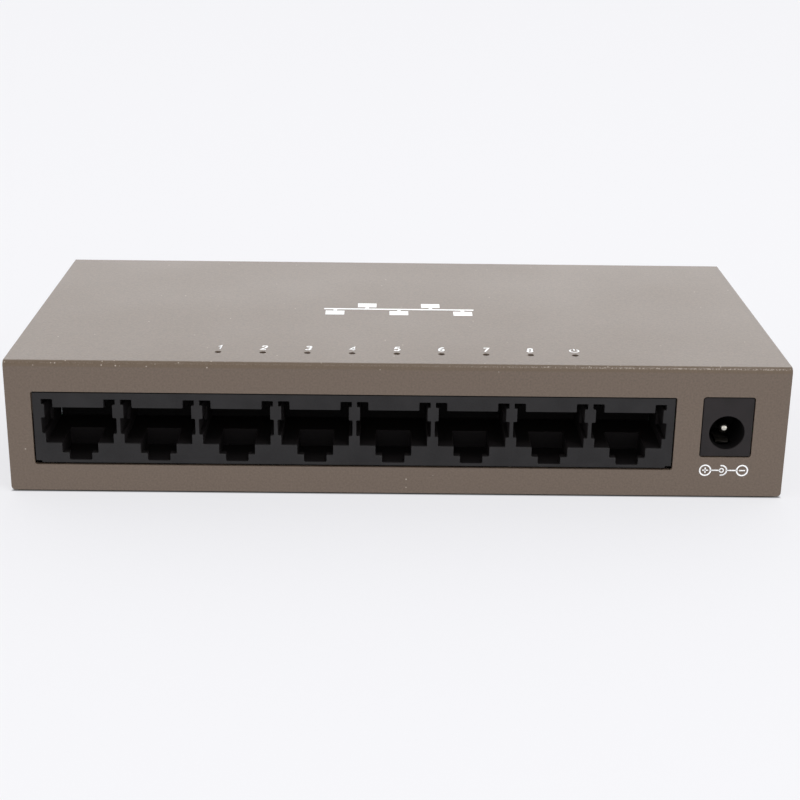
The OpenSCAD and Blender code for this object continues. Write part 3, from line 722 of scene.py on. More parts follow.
class Print(Shape):
    """Thin flat lines on a surface, such as ink."""

    def __init__(self, axis: Axis, start: float, stop: float) -> None:
        """Starts with nothing in it.

        Args:
            axis: The axis that the lines face along.
            start: Where they start on that axis.
            stop: Where they stop.
        """
        super().__init__()
        self.axis, self.start, self.stop = axis, start, stop

    def band(self, centre: Flat, radius: float, stroke: float, sweep: Flat = (0, 360),
             steps: int = 48) -> None:
        """Adds a flat ring, or part of one.

        Args:
            centre: Middle of the ring.
            radius: Radius of its middle line.
            stroke: Width of the line.
            sweep: First and last angle in degrees; a whole turn makes a closed ring.
            steps: How many stretches make up the ring.
        """
        closed = sweep[1] - sweep[0] >= 360
        inner, outer = radius - stroke / 2, radius + stroke / 2
        rings = []
        for i in range(steps if closed else steps + 1):
            a = math.radians(sweep[0] + (sweep[1] - sweep[0]) * i / steps)
            rings.append([self.axis.place(centre[0] + r * math.cos(a), centre[1] + r * math.sin(a), along)
                          for r, along in ((inner, self.start), (outer, self.start),
                                           (outer, self.stop), (inner, self.stop))])
        self.skin(rings, closed)

    def bar(self, a: Flat, b: Flat, stroke: float) -> None:
        """Adds a straight line from a to b."""
        along = (Vector(b) - Vector(a)).normalized() * stroke / 2
        side = Vector((-along.y, along.x))
        corners = [Vector(a) + side, Vector(a) - side, Vector(b) - side, Vector(b) + side]
        self.prism([(p.x, p.y) for p in corners], self.axis, self.start, self.stop)

    def frame_of(self, x: Flat, y: Flat, stroke: float) -> None:
        """Adds a rectangle of lines: two full ones, and two between them."""
        half = stroke / 2
        for v in y:
            self.bar((x[0] - half, v), (x[1] + half, v), stroke)
        for u in x:
            self.bar((u, y[0] + half), (u, y[1] - half), stroke)

    def line(self, path: Sequence[Flat], stroke: float, blunt: float = 0.6) -> None:
        """Adds a line through points, mitred at its corners.

        Args:
            path: The points.
            stroke: Width of the line.
            blunt: How sharp a mitre may get, as the cosine of half the turn.
        """
        points = [Vector(p) for p in path]
        ways = [(b - a).normalized() for a, b in zip(points, points[1:])]
        rings = []
        for point, before, after in zip(points, ways[:1] + ways, ways + ways[-1:]):
            along = (before + after).normalized()
            side = Vector((-along.y, along.x)) * (stroke / 2 / max(along.dot(after), blunt))
            a, b = point + side, point - side
            rings.append([self.axis.place(p.x, p.y, z) for p, z in ((a, self.start), (b, self.start),
                                                                    (b, self.stop), (a, self.stop))])
        self.skin(rings)


# --- Case ---


# Port numbers 1 to 8, each drawn as one line in a unit square.
DIGITS: list[list[Flat]] = [
    [(0.2, 0.72), (0.7, 1.0), (0.7, 0.0)],
    [(0.0, 0.78), (0.2, 0.97), (0.8, 0.97), (1.0, 0.78), (0.85, 0.5), (0.0, 0.0), (1.05, 0.0)],
    [(0.0, 0.88), (0.25, 1.0), (0.75, 1.0), (1.0, 0.8), (0.85, 0.56), (0.4, 0.52), (0.85, 0.48), (1.0, 0.22),
     (0.75, 0.0), (0.25, 0.0), (0.0, 0.12)],
    [(0.75, 0.0), (0.75, 1.0), (0.0, 0.3), (1.05, 0.3)],
    [(0.95, 1.0), (0.15, 1.0), (0.05, 0.52), (0.6, 0.6), (1.0, 0.42), (0.98, 0.15), (0.7, 0.0), (0.2, 0.0),
     (0.0, 0.12)],
    [(0.9, 0.95), (0.5, 1.0), (0.12, 0.78), (0.0, 0.4), (0.12, 0.08), (0.5, 0.0), (0.88, 0.08), (1.0, 0.3),
     (0.85, 0.52), (0.5, 0.58), (0.1, 0.45)],
    [(0.0, 1.0), (1.0, 1.0), (0.4, 0.0)],
    [(0.5, 0.54), (0.12, 0.66), (0.14, 0.9), (0.5, 1.0), (0.86, 0.9), (0.88, 0.66), (0.12, 0.42), (0.0, 0.16),
     (0.3, 0.0), (0.7, 0.0), (1.0, 0.16), (0.88, 0.42), (0.5, 0.54)],
]


@dataclass
class Case:
    """The folded steel cover and tray, their screws, the label and the printing."""

    ink: float = 0.008  # how far the ink stands proud
    sunk: float = 0.004  # how far it goes into the surface
    guide_width: float = 1.6
    digit_size: Flat = (0.88, 2.0)
    digit_stroke: float = 0.34
    digit_slant: float = 0.2
    digit_shift: Flat = (0.08, 2.75)  # from an indicator to the middle of its sign
    stroke: float = 0.25
    power_radius: float = 0.8
    power_low: float = 0.1
    power_sweep: Flat = (125, 415)
    power_stem: Flat = (0.1, 1.05)
    network_at: Flat = (0.2, -1.0)
    network_stroke: float = 0.7
    network_reach: float = 14.6
    devices: int = 5
    device: float = 2.6  # depth of a device's square
    device_half: float = 0.7  # half its width, in depths
    device_step: float = 6.2
    device_stem: float = 0.9
    stem_lap: float = 0.1
    polarity_radius: float = 0.975
    polarity_height: float = 5.3
    polarity_reach: Flat = (-3.36, 3.3)
    polarity_arm: float = 0.55
    tip_at: float = -0.42
    tip_radius: float = 0.36
    tip_thin: float = 0.85
    tip_lap: float = 0.02
    sleeve_radius: float = 0.92
    sleeve_sweep: Flat = (-105, 105)
    label_margin: float = 2.0
    label_strokes: Flat = (0.3, 0.2)  # the frame's and a ruled line's
    rules: int = 3
    rule_step: float = 5.5
    rule_margin: float = 3.0

    def build(self) -> None:
        """Builds the printing and dresses the case."""
        dress_node("top_cover", COVER_COAT, 0.12)
        dress_node("base_tray", TRAY_COAT, 0.12)
        dress_node("cover_screws", ZINC_SCREW, 0.06)
        dress_node("board_standoffs", BRASS, 0.12)
        dress_node("board_screws", ZINC_SCREW, 0.08)
        dress_node("insulating_sheet", FILM, 0.05)
        dress_node("underside_label", LABEL, 0.03)
        self.print_digits()
        self.print_power_sign()
        self.print_network_sign()
        self.print_polarity_sign()
        self.print_label()

    def print_label(self) -> None:
        """Prints a plain frame and ruled lines on the label underneath."""
        low, high = box("underside_label")
        shape = Print(Axis.Z, low.z - self.ink, low.z + self.sunk)
        x, y = (high.x - low.x) / 2 - self.label_margin, (high.y - low.y) / 2 - self.label_margin
        shape.frame_of((-x, x), (-y, y), self.label_strokes[0])
        for k in range(self.rules):
            down = y - (k + 1) * self.rule_step
            shape.bar((self.rule_margin - x, down), (x - self.rule_margin, down), self.label_strokes[1])
        shape.piece("label_ruling", LABEL_INK)

    def sign_at(self, i: int) -> Flat:
        """Middle of the sign behind an indicator, in X and Y."""
        low, high = box("light_guide")
        half = self.guide_width / 2
        pitch = (high.x - low.x - self.guide_width) / PORTS
        return (low.x + half + i * pitch + self.digit_shift[0], low.y + half + self.digit_shift[1])

    def ink_on_top(self) -> Print:
        """Starts a print on the top of the cover."""
        top = box("top_cover")[1].z
        return Print(Axis.Z, top - self.sunk, top + self.ink)

    def print_digits(self) -> None:
        """Prints the port numbers 1 to 8 behind their indicators, leaning a little."""
        shape = self.ink_on_top()
        wide, tall = self.digit_size
        for i, digit in enumerate(DIGITS):
            x, y = self.sign_at(i)
            left, foot = x - wide / 2, y - tall / 2
            shape.line([(left + u * wide + (v - 0.5) * self.digit_slant, foot + v * tall) for u, v in digit],
                       self.digit_stroke)
        shape.piece("printed_port_numbers", INK)

    def print_power_sign(self) -> None:
        """Prints the power sign behind the last indicator."""
        shape = self.ink_on_top()
        x, y = self.sign_at(PORTS)
        y -= self.power_low
        shape.band((x, y), self.power_radius, self.stroke, self.power_sweep)
        shape.bar((x, y + self.power_stem[0]), (x, y + self.power_stem[1]), self.stroke)
        shape.piece("printed_power_sign", INK)

    def print_network_sign(self) -> None:
        """Prints a plain network sign: square devices on both sides of one line."""
        shape = self.ink_on_top()
        x, y = self.network_at
        stroke, half = self.network_stroke, self.device * self.device_half
        shape.bar((x - self.network_reach, y), (x + self.network_reach, y), stroke)
        for k in range(self.devices):
            at = x + (k - self.devices // 2) * self.device_step
            side = 1 if k % 2 else -1
            near = y + side * (stroke / 2 + self.device_stem)
            shape.bar((at, y + side * stroke / 2), (at, near + side * self.stem_lap), stroke)
            low, high = sorted((near, near + side * self.device))
            shape.block((at - half, low, shape.start), (at + half, high, shape.stop))
        shape.piece("printed_network_sign", INK)

    def print_polarity_sign(self) -> None:
        """Prints the polarity of the jack below it: centre contact positive, as two ringed signs."""
        front = box("top_cover")[0].y
        shape = Print(Axis.Y, front - self.ink, front + self.sunk)
        low, high = box("dc_jack_housing")
        x, z, r = (low.x + high.x) / 2, self.polarity_height, self.polarity_radius
        plus, minus = x + self.polarity_reach[0], x + self.polarity_reach[1]
        tip, arm = x + self.tip_at, self.polarity_arm
        for sign in (plus, minus):
            shape.band((sign, z), r, self.stroke)
            shape.bar((sign - arm, z), (sign + arm, z), self.stroke)
        shape.bar((plus, z - arm), (plus, z + arm), self.stroke)
        shape.band((tip, z), self.tip_radius, self.stroke * self.tip_thin)
        shape.band((tip, z), self.sleeve_radius, self.stroke, self.sleeve_sweep)
        shape.bar((plus + r, z), (tip - self.tip_radius + self.tip_lap, z), self.stroke)
        shape.bar((tip + self.sleeve_radius, z), (minus - r, z), self.stroke)
        shape.piece("printed_polarity_sign", INK)


# --- Ports ---


@dataclass
class PortRow:
    """The eight ports: housing, inserts, and the wires bent out of one strip."""

    wires: int = 8
    width: float = 0.4
    thickness: float = 0.3
    slope: float = 12.0  # fall of a spring length, in degrees
    tip_slope: float = 25.0  # rise of its tip, in degrees
    tip: float = 1.5
    tip_short: float = 0.1
    pivot_inset: float = 0.2
    bend: float = 0.55
    nose_gap: float = 0.03  # between wire and insert, at the nose and at the rear
    rear_gap: float = 0.05
    nose_drop: float = 0.8  # from the insert's top to where the two lengths meet
    jog_height: float = 1.4  # above the board
    rib: float = 0.34  # thickness of a rib
    # Outline of the ribs at the nose: back from the insert's front, and down from its top.
    nose_rib: tuple[Flat, ...] = ((0.0, 0.95), (0.0, 1.75), (0.5, 2.2), (3.2, 1.1), (3.2, 0.95))
    rear_rib_at: float = 1.35  # forward from the insert's rear
    rear_rib: Flat = (1.6, 0.9)  # how deep it is at its top and at its foot
    rear_rib_down: Flat = (0.95, 2.6)  # its top and the start of its taper, down from the insert's top
    rear_rib_foot: float = 4.2  # above the board

    def build(self) -> None:
        """Builds the wires and combs and dresses the plastic."""
        dress_node("port_housing", PORT_PLASTIC, 0.18, join=False)
        dress_node("contact_inserts", INSERT_PLASTIC, 0.08)
        for port in range(1, PORTS + 1):
            self.spring_wires(port)
        self.fixed_wires()
        self.combs()

    def wire_x(self, port: int) -> list[float]:
        """Middle of each wire of a port, from its spring node."""
        low, high = box(f"port_{port}_contacts")
        pitch = (high.x - low.x - self.width) / (self.wires - 1)
        return [low.x + self.width / 2 + k * pitch for k in range(self.wires)]

    def spring_wires(self, port: int) -> None:
        """Bends the spring lengths of one port's wires: down, back under the tongue and up."""
        low, high = box(f"port_{port}_contacts")
        insert = box("contact_inserts")
        nose = insert[0].y - self.nose_gap - self.thickness / 2
        pivot = Vector((0, low.y + self.pivot_inset, high.z - self.pivot_inset))
        rise = math.tan(math.radians(self.slope))
        run = high.y - pivot.y - self.tip * math.cos(math.radians(self.tip_slope))
        end = Vector((0, pivot.y + run, pivot.z - run * rise))
        turn = Vector((0, nose, pivot.z + (pivot.y - nose) * rise))
        angle = math.radians(self.tip_slope)
        last = end + Vector((0, math.cos(angle), math.sin(angle))) * (self.tip - self.tip_short)
        path = rounded([Vector((0, nose, insert[1].z - self.nose_drop)), turn, end, last], self.bend)
        shape = Shape()
        for x in self.wire_x(port):
            shape.strip([p + Vector((x, 0, 0)) for p in path], Vector((1, 0, 0)), self.width, self.thickness)
        shape.piece(f"port_{port}_spring_wires", GOLD_WIRE, f"port_{port}_springs",
                    replaces=[f"port_{port}_contacts"])

    def fixed_wires(self) -> None:
        """Bends the fixed lengths: over the tongue, down behind the insert, through the board."""
        low, high = box("port_terminals")
        insert = box("contact_inserts")
        t = self.thickness
        run_z = high.z - t / 2
        nose, foot = low.y + t / 2, low.z
        leg = insert[1].y + self.rear_gap + t / 2
        back = high.y - t / 2
        jog = box("circuit_board")[1].z + self.jog_height + t / 2
        shape = Shape()
        for port in range(1, PORTS + 1):
            for k, x in enumerate(self.wire_x(port)):
                corners = [(nose, insert[1].z - self.nose_drop), (nose, run_z), (leg, run_z)]
                corners += [(leg, jog), (back, jog), (back, foot)] if k % 2 else [(leg, foot)]
                path = rounded([Vector((x, y, z)) for y, z in corners], self.bend)
                shape.strip(path, Vector((1, 0, 0)), self.width, t)
        shape.piece("port_fixed_wires", GOLD_WIRE, replaces=["port_terminals"])

    def combs(self) -> None:
        """Adds the ribs that keep the wires apart, at the nose and at the rear of each insert."""
        low, high = box("contact_inserts")
        foot = box("circuit_board")[1].z + self.rear_rib_foot
        rear, (deep, knee) = high.y - self.rear_rib_at, self.rear_rib
        top, heel = (high.z - down for down in self.rear_rib_down)
        nose = [(low.y + back, high.z - down) for back, down in self.nose_rib]
        tail = [(rear, foot), (rear, top), (rear - deep, top), (rear - deep, heel), (rear - knee, foot)]
        shape = Shape()
        for port in range(1, PORTS + 1):
            xs = self.wire_x(port)
            pitch = xs[1] - xs[0]
            for k in range(self.wires + 1):
                x = xs[0] + (k - 0.5) * pitch
                for outline in (nose, tail):
                    shape.prism(outline, Axis.X, x - self.rib / 2, x + self.rib / 2)
        shape.piece("wire_combs", INSERT_PLASTIC, edge=0.04)


# --- Power inlet ---


@dataclass
class PowerInlet:
    """The barrel jack with its pin, tags and leaf spring."""

    leaf_width: float = 2.4
    leaf_thickness: float = 0.3
    slope: float = 9.5
    tip_slope: float = 20.0
    tip: float = 1.4
    tip_short: float = 0.1
    pivot_inset: float = 0.25
    root: Flat = (0.1, -0.2)  # from the pivot to where the leaf leaves its slot
    bend: float = 1.2

    def build(self) -> None:
        """Builds the leaf and dresses the jack."""
        dress_node("dc_jack_housing", JACK_PLASTIC, 0.12)
        dress_node("dc_jack_pin", NICKEL_PIN, 0.05)
        dress_node("dc_jack_terminals", TIN_STRIP, 0.05)
        self.leaf()

    def leaf(self) -> None:
        """Bends the leaf spring that presses on the plug's barrel."""
        low, high = box("dc_jack_spring")
        x = (low.x + high.x) / 2
        pivot = Vector((x, high.y - self.pivot_inset, low.z + self.pivot_inset))
        rise = math.tan(math.radians(self.slope))
        run = pivot.y - low.y - self.tip * math.cos(math.radians(self.tip_slope))
        top = Vector((x, pivot.y - run, pivot.z + run * rise))
        angle = math.radians(self.tip_slope)
        last = top + Vector((0, -math.cos(angle), -math.sin(angle))) * (self.tip - self.tip_short)
        root = pivot + Vector((0, *self.root))
        shape = Shape()
        shape.strip(rounded([root, pivot, top, last], self.bend), Vector((1, 0, 0)), self.leaf_width,
                    self.leaf_thickness)
        # The leaf's dark finish is painted shade inside the barrel.
        shape.piece("jack_leaf_spring", SHADED_LEAF, "inlet_spring", replaces=["dc_jack_spring"])


# --- Indicators ---


@dataclass
class Indicators:
    """The light guide, the shroud that shades it, and the lamps on the board."""

    end_length: float = 0.25
    end_height: float = 0.37
    end_proud: float = 0.02

    def build(self) -> None:
        """Dresses the parts and adds the tinned ends of the lamps' carriers."""
        dress_node("light_guide", ACRYLIC, 0.1)
        dress_node("light_shroud", SHROUD_PLASTIC, 0.1)
        dress_node("status_leds", LED_BODY, 0.04)
        self.lamp_ends()

    def lamp_ends(self) -> None:
        """Adds the tinned ends of the lamps' carriers."""
        shape = Shape()
        out, inward = self.end_proud, self.end_length
        for low, high in islands("status_leds"):
            for a, b in ((low.x - out, low.x + inward), (high.x - inward, high.x + out)):
                shape.block((a, low.y - out, low.z), (b, high.y + out, low.z + self.end_height))
        shape.piece("lamp_end_caps", TIN_LEAD, edge=0.03)


# --- Board ---


@dataclass(frozen=True)
class LeadRow:
    """Equal leads on two sides of every package of a CAD node."""

    node: str
    axis: Axis  # the leads point along it
    pitch: float
    count: int  # on one side
    width: float
    reach: float


# Each piece made of leads, and the rows in it.
LEADS: dict[str, list[LeadRow]] = {
    "chip_gull_wing_leads": [LeadRow("switch_chip", Axis.Y, 0.5, 38, 0.22, 1.0),
                             LeadRow("switch_chip", Axis.X, 0.5, 26, 0.22, 1.0),
                             LeadRow("setup_memory", Axis.Y, 1.27, 4, 0.4, 1.0),
                             LeadRow("regulator_chip", Axis.Y, 1.27, 4, 0.4, 1.0)],
    "transformer_leads": [LeadRow("transformers", Axis.Y, 1.27, 12, 0.45, 1.1)],
    "diode_tabs": [LeadRow("input_diode", Axis.X, 1.0, 1, 1.5, 0.9)],
}
# Each node with a printed outline, and how far outside it that runs in X and in Y.
OUTLINES: dict[str, Flat] = {
    "transformers": (0.25, 1.4), "switch_chip": (1.4, 1.4), "setup_memory": (0.25, 1.3),
    "regulator_chip": (0.25, 1.3), "bulk_capacitors": (0.25, 0.5), "power_inductor": (0.25, 0.5),
    "crystal": (0.25, 0.5), "input_diode": (1.2, 0.25), "input_fuse": (0.7, 0.25),
}


@dataclass
class Board:
    """The circuit board and what is soldered to it."""

    gull_thickness: float = 0.15
    gull_lift: float = 0.01  # a thin film of solder below the foot
    gull_knees: Flat = (0.35, 0.5)  # where the lead bends, as shares of its reach
    gull_bend: float = 0.15
    lead_height: Flat = (0.45, 0.1)  # a share of the package's height, and a bit more
    lead_sunk: float = 0.05
    band: Flat = (0.4, 0.9)  # the diode's band, from its end
    band_margin: float = 0.12
    chip_cap: float = 0.3
    big_chip: Flat = (2.0, 1.6)  # chips longer than this have caps so much longer
    cap_proud: float = 0.02
    fillet: float = 0.35
    fillet_heights: Flat = (0.7, 0.35)  # its top on the chip, and its hollow below that
    fillet_hollow: float = 0.4
    fillet_margin: float = 0.03
    sunk: float = 0.01  # how far solder and ink go into the surface below
    can_ledge: Flat = (0.65, 0.75)  # from a can's side to the rim of its top
    can_top: tuple[float, float, float] = (-0.05, 0.05, 0.09)
    score: Flat = (0.08, 0.13)
    score_margin: float = 1.1
    score_stroke: float = 0.22
    stripe_sweep: Flat = (150, 210)
    stripe_margins: Flat = (2.4, 0.5)
    stripe: Flat = (0.02, 0.08)  # its depth in the sleeve and its thickness
    wire_radius: float = 0.3
    # The surge capacitor's wires: each corner's distance in X and Y from the disc's middle.
    wire_corners: tuple[Flat, ...] = ((0.6, 2.2), (0.9, 2.5), (0.9, 2.5))
    wire_heights: tuple[float, float, float] = (1.2, 0.1, -1.2)
    wire_bend: float = 0.5
    leg_inset: float = 0.15
    cone: tuple[Flat, ...] = ((0.48, 0.02), (0.48, -0.05), (0.36, -0.25), (0.27, -0.65), (0.1, -0.8))
    cone_sides: int = 12
    silk: float = 0.02
    silk_line: float = 0.15
    pad: float = 0.03
    ring: Flat = (2.35, 1.4)  # radius and width of the ring under a screw

    def __post_init__(self) -> None:
        """Notes where the board's two faces are."""
        low, high = box("circuit_board")
        self.bottom, self.top = low.z, high.z

    def build(self) -> None:
        """Dresses the CAD parts and adds leads, solder and printing."""
        dress_node("circuit_board", MASK, 0.05)
        dress_node("transformers", PACKAGE, 0.25)
        dress_node("switch_chip", PACKAGE, 0.1)
        dress_node("crystal", STEEL_CAN, 0.3)
        dress_node("setup_memory", PACKAGE, 0.1)
        dress_node("bulk_capacitors", SLEEVE, 0.2)
        dress_node("power_inductor", FERRITE, 0.2)
        dress_node("regulator_chip", PACKAGE, 0.1)
        dress_node("input_diode", PACKAGE, 0.1)
        dress_node("input_fuse", FUSE, 0.06)
        dress_node("surge_capacitor", DISC, 0.8, 4)
        dress_node("chip_resistors", GLAZE, 0.04)
        dress_node("chip_capacitors", CERAMIC, 0.05)
        self.chip_leads()
        self.chip_ends()
        self.capacitor_tops()
        self.disc_leads()
        self.solder_cones()
        self.silkscreen()
        self.screw_pads()

    def gull(self, shape: Shape, foot: Vector, out: Vector, width: float, reach: float, rise: float) -> None:
        """Bends one gull-wing lead.

        Args:
            shape: The mesh that it goes into.
            foot: Where it leaves the package, at the board's surface.
            out: The direction away from the package.
            width: Its width.
            reach: How far it reaches out.
            rise: Height at which it leaves the package.
        """
        t = self.gull_thickness
        up = Vector((0, 0, 1))
        sole = up * (t / 2 + self.gull_lift)
        near, far = self.gull_knees
        corners = [foot + up * rise, foot + out * reach * near + up * rise,
                   foot + out * reach * far + sole, foot + out * reach + sole]
        shape.strip(rounded(corners, self.gull_bend, 3), out.cross(up), width, t)

    def side_leads(self, shape: Shape, low: Vector, high: Vector, row: LeadRow) -> None:
        """Puts a row of leads on both sides of a package.

        Args:
            shape: The mesh that they go into.
            low: Lowest corner of the package.
            high: Highest corner of the package.
            row: What the leads are like.
        """
        k = row.axis.value
        other = 1 - k
        middle = (low + high) / 2
        rise = (high.z - low.z) * self.lead_height[0] + self.lead_height[1]
        for sign, edge in ((-1, low[k] + self.lead_sunk), (1, high[k] - self.lead_sunk)):
            out = Vector((0, 0, 0))
            out[k] = sign
            for i in range(row.count):
                foot = Vector((0, 0, self.top))
                foot[k] = edge
                foot[other] = middle[other] + (i - (row.count - 1) / 2) * row.pitch
                self.gull(shape, foot, out, row.width, row.reach, rise)

    def chip_leads(self) -> None:
        """Puts tinned leads on the chips, the transformers and the diode, and the diode's band."""
        for name, rows in LEADS.items():
            shape = Shape()
            for row in rows:
                for low, high in islands(row.node):
                    self.side_leads(shape, low, high, row)
            shape.piece(name, TIN_LEAD)
        shape = Shape()
        for low, high in islands("input_diode"):
            shape.block((low.x + self.band[0], low.y + self.band_margin, high.z - self.sunk),
                        (low.x + self.band[1], high.y - self.band_margin, high.z + self.silk))
        shape.piece("diode_band", INK)

    def chip_ends(self) -> None:
        """Caps the ends of the chip parts and the fuse, and runs solder up them."""
        caps, solder = Shape(), Shape()
        proud = self.cap_proud
        for name in ("chip_resistors", "chip_capacitors", "input_fuse"):
            for low, high in islands(name):
                k = 0 if high.x - low.x > high.y - low.y else 1
                other = 1 - k
                wide = self.chip_cap * (self.big_chip[1] if high[k] - low[k] > self.big_chip[0] else 1)
                for sign, edge in ((1, low[k]), (-1, high[k])):
                    inner, outer = edge + sign * wide, edge - sign * proud
                    a, b = low - Vector((proud, proud, 0)), high + Vector((proud, proud, proud))
                    a[k], b[k] = min(inner, outer), max(inner, outer)
                    caps.block(a, b)
                    tall = (high.z - low.z) * self.fillet_heights[0]
                    toe, base = outer - sign * self.fillet, self.top - self.sunk
                    slope = [(outer, base), (outer, self.top + tall),
                             (outer - sign * self.fillet * self.fillet_hollow,
                              self.top + tall * self.fillet_heights[1]),
                             (toe, self.top + self.pad), (toe, base)]
                    solder.prism(slope, Axis(other), low[other] + self.fillet_margin,
                                 high[other] - self.fillet_margin)
        caps.piece("chip_end_caps", TIN_LEAD, edge=0.04)
        solder.piece("chip_solder_fillets", SOLDER)

    def capacitor_tops(self) -> None:
        """Adds the scored aluminium tops and the pale stripes of the bulk capacitors."""
        tops, stripes = Print(Axis.Z, 0, 0), Print(Axis.Z, 0, 0)
        wide, narrow = self.can_ledge
        for low, high in islands("bulk_capacitors"):
            x, y, r = (low.x + high.x) / 2, (low.y + high.y) / 2, (high.x - low.x) / 2
            rim = zip((r - wide, r - wide, r - narrow), (high.z + rise for rise in self.can_top))
            tops.turn(list(rim), (x, y), Axis.Z)
            tops.start, tops.stop = high.z + self.score[0], high.z + self.score[1]
            for turn in (0, 60, 120):
                a = math.radians(turn)
                reach = (r - self.score_margin) * Vector((math.cos(a), math.sin(a)))
                tops.bar((x - reach.x, y - reach.y), (x + reach.x, y + reach.y), self.score_stroke)
            stripes.start, stripes.stop = low.z + self.stripe_margins[0], high.z - self.stripe_margins[1]
            stripes.band((x, y), r - self.stripe[0], self.stripe[1], self.stripe_sweep)
        tops.piece("capacitor_tops", ALUMINIUM)
        stripes.piece("capacitor_stripes", LABEL_INK)

    def disc_middle(self) -> Vector:
        """Middle of the surge capacitor, at its lowest height."""
        low, high = box("surge_capacitor")
        return Vector(((low.x + high.x) / 2, (low.y + high.y) / 2, low.z))

    def disc_leads(self) -> None:
        """Adds the two wires of the surge capacitor."""
        at = self.disc_middle()
        heights = [base + rise for base, rise in zip((at.z, at.z, self.bottom), self.wire_heights)]
        shape = Shape()
        for sign in (-1, 1):
            path = [Vector((at.x + sign * u, at.y + sign * v, z))
                    for (u, v), z in zip(self.wire_corners, heights)]
            shape.strip(rounded(path, self.wire_bend), Vector((1, 0, 0)), self.wire_radius * 2,
                        self.wire_radius * 2)
        shape.piece("surge_capacitor_wires", TIN_LEAD)

    def solder_cones(self) -> None:
        """Adds the solder round the legs of the ports' wires and the disc's, below the board."""
        shape = Shape()
        spots = [((a.x + b.x) / 2, b.y - self.leg_inset) for a, b in islands("port_terminals")]
        at, (u, v) = self.disc_middle(), self.wire_corners[-1]
        spots += [(at.x + u, at.y + v), (at.x - u, at.y - v)]
        for spot in spots:
            shape.turn([(r, self.bottom + rise) for r, rise in self.cone], spot, Axis.Z, self.cone_sides)
        shape.piece("solder_cones", SOLDER)

    def silkscreen(self) -> None:
        """Prints plain outlines round the parts."""
        shape = Print(Axis.Z, self.top - self.sunk / 2, self.top + self.silk)
        for name, (u, v) in OUTLINES.items():
            for low, high in islands(name):
                shape.frame_of((low.x - u, high.x + u), (low.y - v, high.y + v), self.silk_line)
        shape.piece("board_silkscreen", INK)

    def screw_pads(self) -> None:
        """Adds the tinned rings under the heads of the board's screws."""
        shape = Print(Axis.Z, self.top - self.sunk, self.top + self.pad)
        for low, high in islands("board_screws"):
            shape.band(((low.x + high.x) / 2, (low.y + high.y) / 2), *self.ring)
        shape.piece("screw_pads", SOLDER)


# --- Studio ---


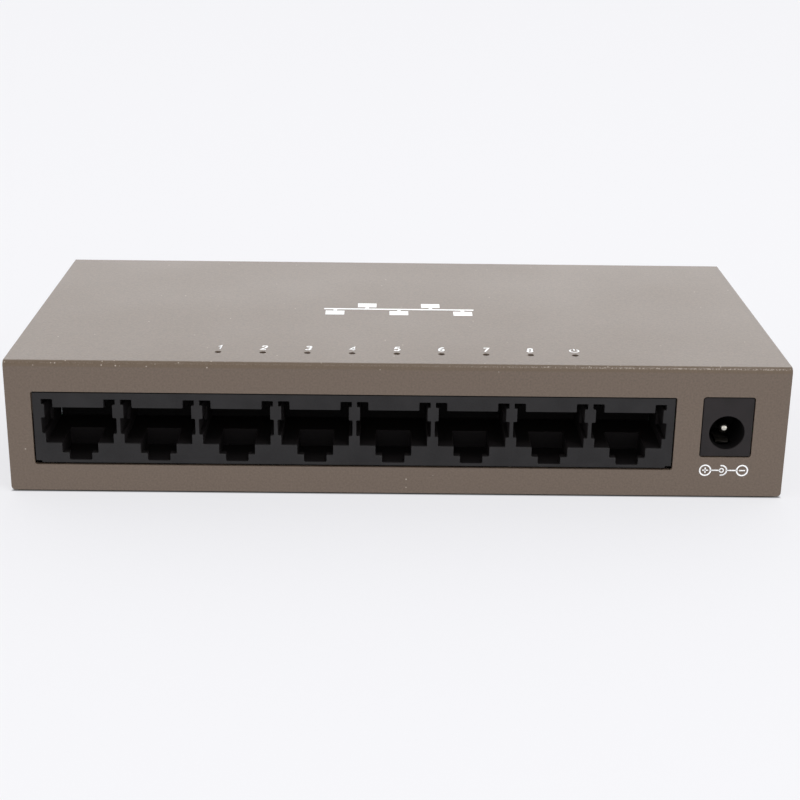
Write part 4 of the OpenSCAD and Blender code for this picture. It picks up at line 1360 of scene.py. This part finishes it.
@dataclass
class Studio:
    """A pale floor, a light tent with one soft lamp in it, and the camera in front of the ports."""

    lens: float = 71.04
    film: float = 36.0
    near: float = 10.0
    camera_at: tuple[float, float, float] = (-2.51, -297.36, 112.98)
    pitch: float = 19.871
    yaw: float = 0.615
    roll: float = 0.774
    floor_tint: str = "#868688"
    floor_glow_tint: str = "#F9F9FC"
    floor_roughness: float = 0.9
    floor_glow: float = 0.68
    glow_edge: Flat = (-0.4, 0.3)  # it glows past the object's outline, not below it
    floor_size: float = 6000.0
    wall_light: float = 2.15
    ceiling_light: float = 0.66
    wall_top: float = 0.3
    ceiling_edge: float = 0.8
    room_tint: str = "#F5F5F7"
    side_lean: float = 0.12
    back_lean: float = 0.3
    dark_toward: tuple[float, float, float] = (0.0, -0.9, 0.42)
    dark_amount: float = 0.25
    dark_edge: Flat = (0.72, 0.92)
    lamp_at: tuple[float, float, float] = (250.0, -350.0, 900.0)
    lamp_side: float = 200.0
    lamp_power: float = 1.5

    def build(self) -> None:
        """Places the camera, the lights and the floor."""
        self.place_camera()
        self.light()
        self.hang_lamp()
        self.lay_floor()

    def place_camera(self) -> None:
        """Places the camera at a person's view of the front, a little from above."""
        data = bpy.data.cameras.new("camera")
        data.lens = self.lens
        data.sensor_width = self.film
        data.clip_start = self.near * MM
        camera = bpy.data.objects.new("camera", data)
        bpy.context.scene.collection.objects.link(camera)
        turn = (Matrix.Rotation(math.radians(-self.yaw), 4, "Z")
                @ Matrix.Rotation(math.radians(90 - self.pitch), 4, "X")
                @ Matrix.Rotation(math.radians(self.roll), 4, "Z"))
        camera.matrix_world = Matrix.Translation(Vector(self.camera_at) * MM) @ turn
        bpy.context.scene.camera = camera

    def light(self) -> None:
        """Lights the object as a light tent does.

        Its walls are bright all round, its ceiling is dimmer, and it is open towards the front.
        """
        scene = bpy.context.scene
        scene.view_settings.view_transform = "Standard"
        world = bpy.data.worlds.new("light_tent")
        scene.world = world
        world.use_nodes = True
        tree = world.node_tree
        tree.nodes.clear()
        toward = add_node(tree, "TexCoord").outputs["Generated"]
        parts = add_node(tree, "SeparateXYZ", {"Vector": toward})
        level = add_node(tree, "MapRange", {"Value": parts.outputs["Z"],
                                            **ends("From", (self.wall_top, self.ceiling_edge)),
                                            **ends("To", (self.wall_light, self.ceiling_light))},
                         interpolation_type="SMOOTHSTEP")
        aside = add_node(tree, "Math", {0: parts.outputs["X"], 1: self.side_lean, 2: 1.0},
                         operation="MULTIPLY_ADD")
        lean = add_node(tree, "Math", {0: parts.outputs["Y"], 1: self.back_lean, 2: aside},
                        operation="MULTIPLY_ADD")
        lit = add_node(tree, "Math", {0: level, 1: lean}, operation="MULTIPLY")
        facing = add_node(tree, "VectorMath", {0: toward, 1: Vector(self.dark_toward).normalized()},
                          operation="DOT_PRODUCT")
        opening = add_node(tree, "MapRange", {"Value": facing.outputs["Value"],
                                              **ends("From", self.dark_edge),
                                              **ends("To", (1.0, 1.0 - self.dark_amount))},
                           interpolation_type="SMOOTHSTEP")
        strength = add_node(tree, "Math", {0: lit, 1: opening}, operation="MULTIPLY")
        tent = add_node(tree, "Background", {"Color": (1.0, 1.0, 1.0, 1.0), "Strength": strength})
        room = add_node(tree, "Background", {"Color": colour(self.room_tint), "Strength": 1.0})
        seen = add_node(tree, "LightPath").outputs["Is Camera Ray"]
        both = add_node(tree, "MixShader", {0: seen, 1: tent, 2: room})
        add_node(tree, "OutputWorld", {"Surface": both})

    def hang_lamp(self) -> None:
        """Hangs a square soft lamp over the front right, which draws lines on up-facing edges."""
        data = bpy.data.lights.new("soft_lamp", "AREA")
        data.size = self.lamp_side * MM
        data.energy = self.lamp_power
        lamp = bpy.data.objects.new("soft_lamp", data)
        at = Vector(self.lamp_at) * MM
        lamp.matrix_world = Matrix.Translation(at) @ at.to_track_quat("Z", "Y").to_matrix().to_4x4()
        bpy.context.scene.collection.objects.link(lamp)

    def lay_floor(self) -> None:
        """Lays a plain pale light table under the feet. It isn't part of the object."""
        half = self.floor_size / 2 * MM
        data = bpy.data.meshes.new("floor")
        data.from_pydata([(-half, -half, 0), (half, -half, 0), (half, half, 0), (-half, half, 0)], [],
                         [(0, 1, 2, 3)])
        paper = bpy.data.materials.new("light_table")
        paper.use_nodes = True
        tree = paper.node_tree
        tree.nodes.clear()
        shader = add_node(tree, "BsdfPrincipled", {"Base Color": colour(self.floor_tint),
                                                   "Roughness": self.floor_roughness,
                                                   "Specular IOR Level": 0.0,
                                                   "Emission Color": colour(self.floor_glow_tint)})
        corner = [max(abs(c[k]) for c in cad_bounds) for k in range(2)]
        place = add_node(tree, "TexCoord").outputs["Object"]
        away = add_node(tree, "VectorMath", {0: place}, operation="ABSOLUTE")
        past = add_node(tree, "VectorMath", {0: away, 1: (*corner, 0.0)}, operation="SUBTRACT")
        sides = add_node(tree, "SeparateXYZ", {"Vector": past})
        gap = add_node(tree, "Math", {0: sides.outputs["X"], 1: sides.outputs["Y"]}, operation="MAXIMUM")
        glow = add_node(tree, "MapRange", {"Value": gap, **ends("From", self.glow_edge, MM),
                                           **ends("To", (0.0, self.floor_glow))},
                        interpolation_type="SMOOTHSTEP")
        tree.links.new(glow.outputs["Result"], shader.inputs["Emission Strength"])
        add_node(tree, "OutputMaterial", {"Surface": shader})
        data.materials.append(paper)
        floor = bpy.data.objects.new("floor", data)
        bpy.context.scene.collection.objects.link(floor)


def main() -> None:
    """Builds the studio and then the object, one sub-assembly after the other."""
    logging.basicConfig(level=logging.INFO, format="%(name)s %(message)s")
    Studio().build()
    Case().build()
    PortRow().build()
    PowerInlet().build()
    Indicators().build()
    Board().build()


if __name__ == "__main__":
    main()
